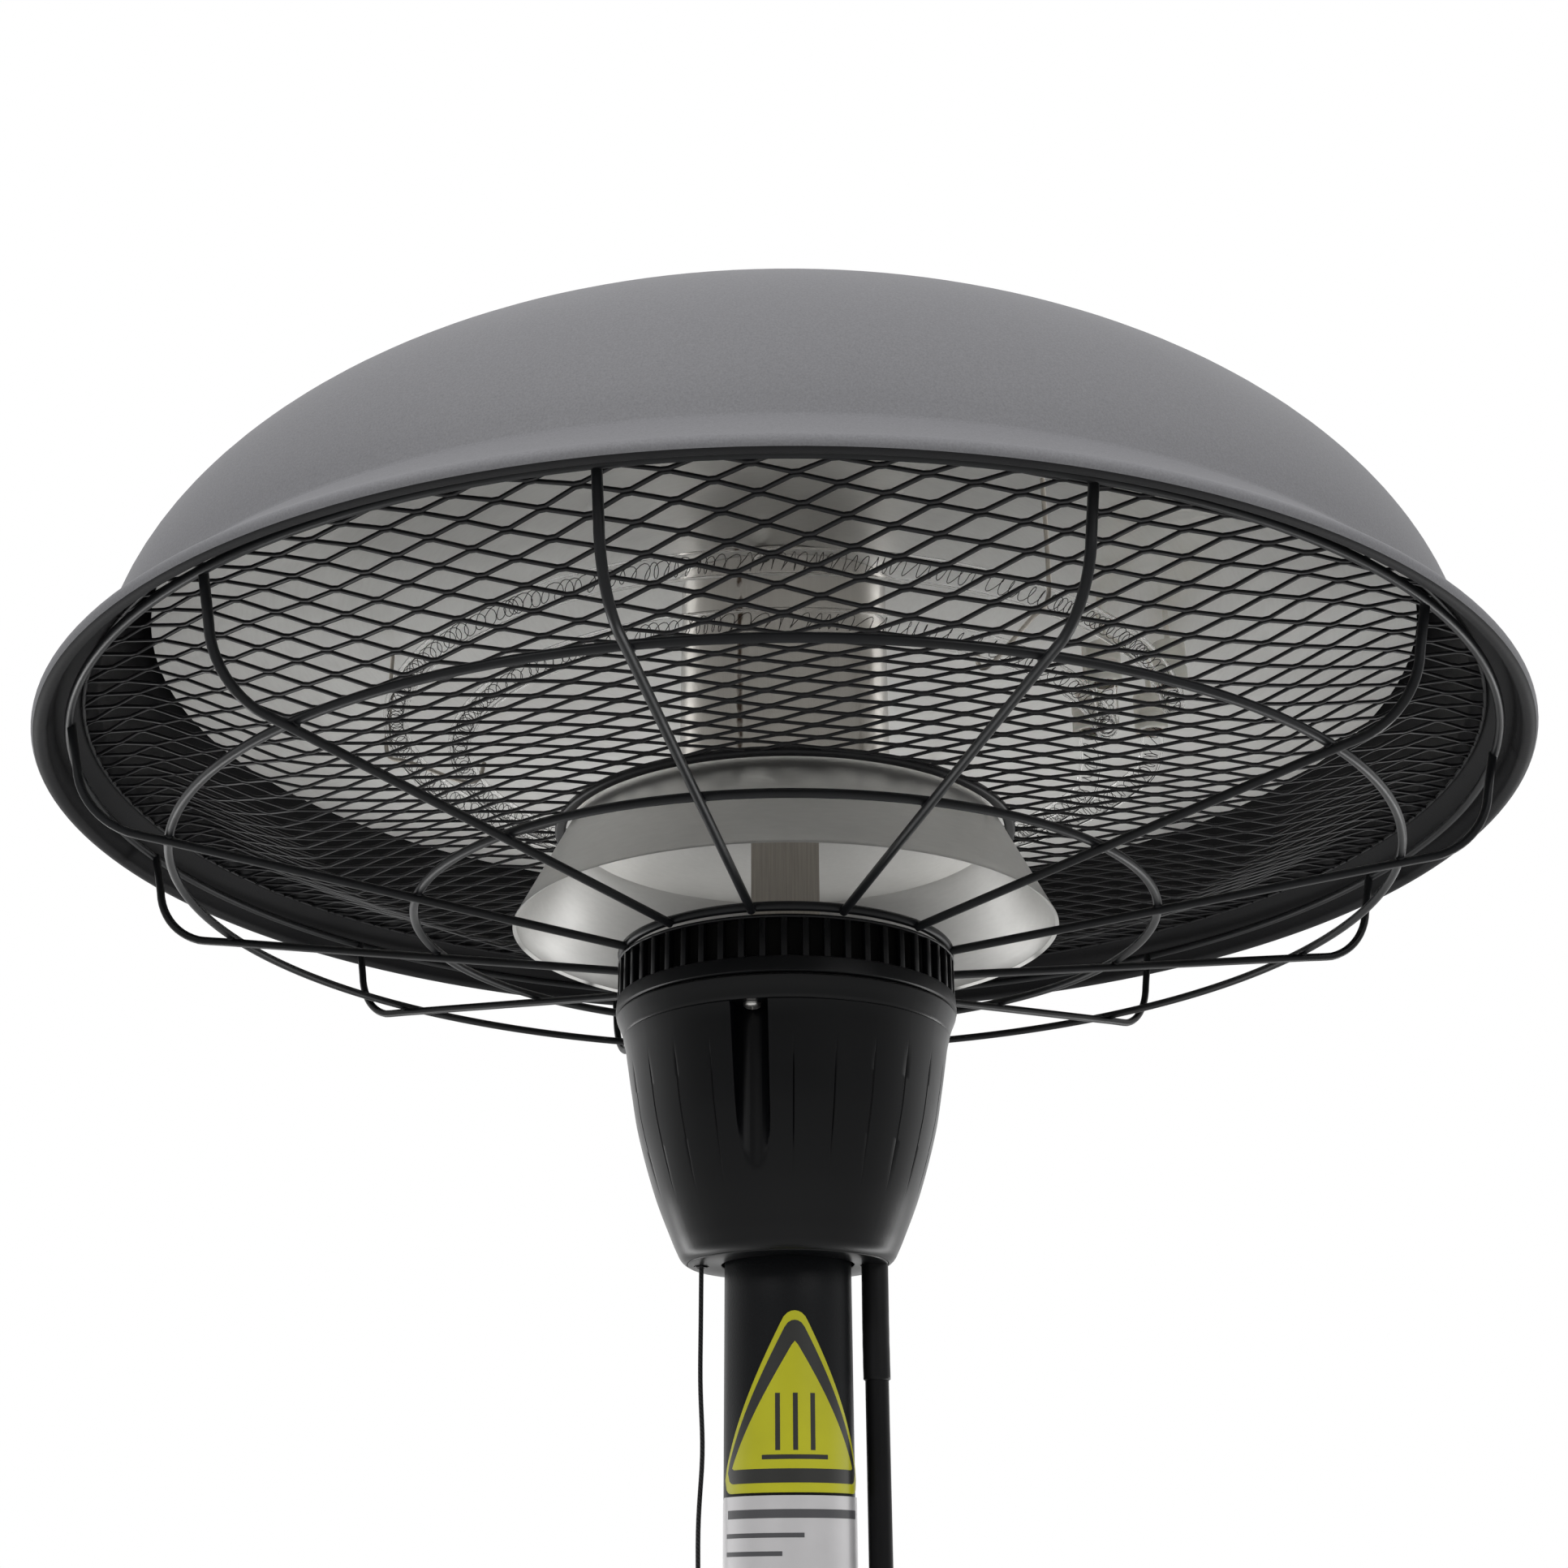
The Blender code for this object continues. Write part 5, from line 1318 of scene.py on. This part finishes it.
def make_warning_label():
    """A plain warning triangle with three rising bars."""
    apex, base, half_side = RIM_Z - 0.2020, LABEL_SPLIT_Z, 0.0365
    shape = Shape()
    wrapped(shape, rounded_triangle(apex, base, half_side, 0.0050), FILM, 0)
    border = rounded_triangle(apex - 0.0034, base + 0.0033, half_side - 0.0034, 0.0040)
    wrapped(shape, border, FILM + LAYER, 1)
    field = rounded_triangle(apex - 0.0110, base + 0.0082, half_side - 0.0092, 0.0006)
    wrapped(shape, field, FILM + 2 * LAYER, 0)
    for x in (-0.0065, 0.0, 0.0065):
        wrapped(shape, bar(x, base + 0.0245, 0.0018, 0.0200), FILM + 3 * LAYER, 1, 4)
    wrapped(shape, bar(0.0, base + 0.0122, 0.0250, 0.0016), FILM + 3 * LAYER, 1, 16)
    stand_in(mesh_object("triangle_label", shape, 30), ["warning_label"], ["yellow", "ink"])


def make_data_label():
    """A silver film with a heading bar and plain lines."""
    top, bottom, half = LABEL_SPLIT_Z - 0.0010, LABEL_SPLIT_Z - 0.0860, 0.0360
    shape = Shape()
    wrapped(shape, round_rectangle(-half, half, bottom, top, 0.002, 4), FILM, 0)
    wrapped(shape, bar(0.0, top - 0.0062, 0.0600, 0.0030), FILM + LAYER, 1, 32)
    for row, width in enumerate((0.034, 0.026, 0.030, 0.022, 0.036, 0.028, 0.032, 0.018, 0.030)):
        line = bar(-half + 0.005 + width / 2, top - 0.0135 - 0.0062 * row, width, 0.0016)
        wrapped(shape, line, FILM + LAYER, 1, 16)
    stand_in(mesh_object("data_label", shape, 30), ["rating_label"], ["silver", "grey_ink"])


# Cable fittings -----------------------------------------------------------------------------
def make_sleeve():
    """Heat-shrink sleeve, slightly wrinkled where it was gripped while hot."""
    low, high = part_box("cable_sleeve")
    outer = (high.x - low.x) / 2
    rows = 70

    def wrinkled(angle, r, z):
        if r < outer - 0.0004:
            return r
        near_top = smoothstep((z - (high.z - 0.040)) / 0.020)
        fold = sin(820 * z + 2.2 * sin(angle + 1.0)) * (0.5 + 0.5 * sin(angle * 2 + 150 * z))
        return r - 0.00012 - 0.00010 * fold * (0.25 + near_top) - 0.00008 * sin(3 * angle + 90 * z)

    wall = [(outer, high.z - 0.0004 - (high.z - low.z - 0.0008) * i / rows) for i in range(rows + 1)]
    outline = [(outer - 0.0007, high.z), *wall, (outer - 0.0007, low.z)]
    turned_piece("shrink_sleeve", ["cable_sleeve"], ["sleeve"], outline, 40, 60, lifted(0.0, CABLE_X),
                 shift=wrinkled)


def make_clips():
    for number in (1, 2, 3):
        node = f"cable_clip_{number}"
        low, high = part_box(node)
        bore, half_w = CABLE_R + 0.0001, 0.0050
        points, faces, _ = turned(soft_ring(bore, bore + 0.0016, low.z, high.z, 0.0004), 48)
        shape = Shape().add(points, faces, 0, lifted(0.0, CABLE_X))
        corners = (POST_R + 0.0001, -half_w, low.z), (CABLE_X - bore - 0.0006, half_w, high.z)
        shape.add(*block(*corners, 0.0006))
        stand_in(mesh_object(f"clip_{number}", shape, 30), [node], ["plastic"])


# Stage --------------------------------------------------------------------------------------
def make_stage():
    shape = Shape().add([(-12, -12, 0), (12, -12, 0), (12, 12, 0), (-12, 12, 0)], [(0, 1, 2, 3)])
    ground = mesh_object("floor", shape)
    ground.data.materials.append(pale_floor())
    world = bpy.data.worlds.new("studio")
    world.use_nodes = True
    bpy.context.scene.world = world
    light_world(world.node_tree)
    bpy.context.scene.view_settings.view_transform = "Standard"


def light_world(tree):
    """A white studio: bright behind the heater, dimmer on the label's side, plain white to look at."""
    back = tree.nodes["Background"]
    back.inputs["Color"].default_value = (1.0, 1.0, 1.0, 1.0)
    way = tree.nodes.new("ShaderNodeTexCoord")
    parts = tree.nodes.new("ShaderNodeSeparateXYZ")
    tree.links.new(way.outputs["Generated"], parts.inputs[0])
    fade = tree.nodes.new("ShaderNodeMapRange")
    fade.interpolation_type = "SMOOTHSTEP"
    for name, number in (("From Min", -0.60), ("From Max", 0.60), ("To Min", 0.38), ("To Max", 1.10)):
        fade.inputs[name].default_value = number
    tree.links.new(parts.outputs[1], fade.inputs["Value"])
    seen = tree.nodes.new("ShaderNodeLightPath")
    pick = tree.nodes.new("ShaderNodeMix")
    tree.links.new(seen.outputs["Is Camera Ray"], pick.inputs["Factor"])
    tree.links.new(fade.outputs["Result"], pick.inputs[2])
    pick.inputs[3].default_value = 1.0
    tree.links.new(pick.outputs[0], back.inputs["Strength"])


def soft_light(name, place, aim, size, watts):
    lamp = bpy.data.lights.new(name, "AREA")
    lamp.shape, lamp.size, lamp.size_y, lamp.energy = "RECTANGLE", size[0], size[1], watts
    obj = bpy.data.objects.new(name, lamp)
    bpy.context.scene.collection.objects.link(obj)
    obj.location = place
    obj.rotation_euler = (Vector(aim) - Vector(place)).to_track_quat("-Z", "Y").to_euler()
    obj.visible_camera = False


def make_lights():
    """Two large soft boxes in front of the head, and two low strips behind it that rim the metal."""
    head = (0.0, 0.0, RIM_Z)
    soft_light("key_light", (-1.2, -1.8, 3.6), head, (1.6, 1.6), 44)
    soft_light("fill_light", (1.5, -1.7, 3.3), head, (1.6, 1.6), 30)
    soft_light("strip_left", (-1.40, 1.22, 0.75), head, (0.45, 1.6), 14)
    soft_light("strip_right", (1.40, 1.22, 0.75), head, (0.45, 1.6), 14)


make_camera()
dress_frame()
make_cords()
make_shade()
make_cap_nut()
make_dish()
make_column()
make_cup()
make_column_screw()
make_elements()
make_hangers()
make_expanded_mesh()
make_hem_ring()
make_wire_guard()
make_collar()
make_housing()
make_floor_plate()
make_post()
make_base()
make_warning_label()
make_data_label()
make_sleeve()
make_clips()
make_stage()
make_lights()
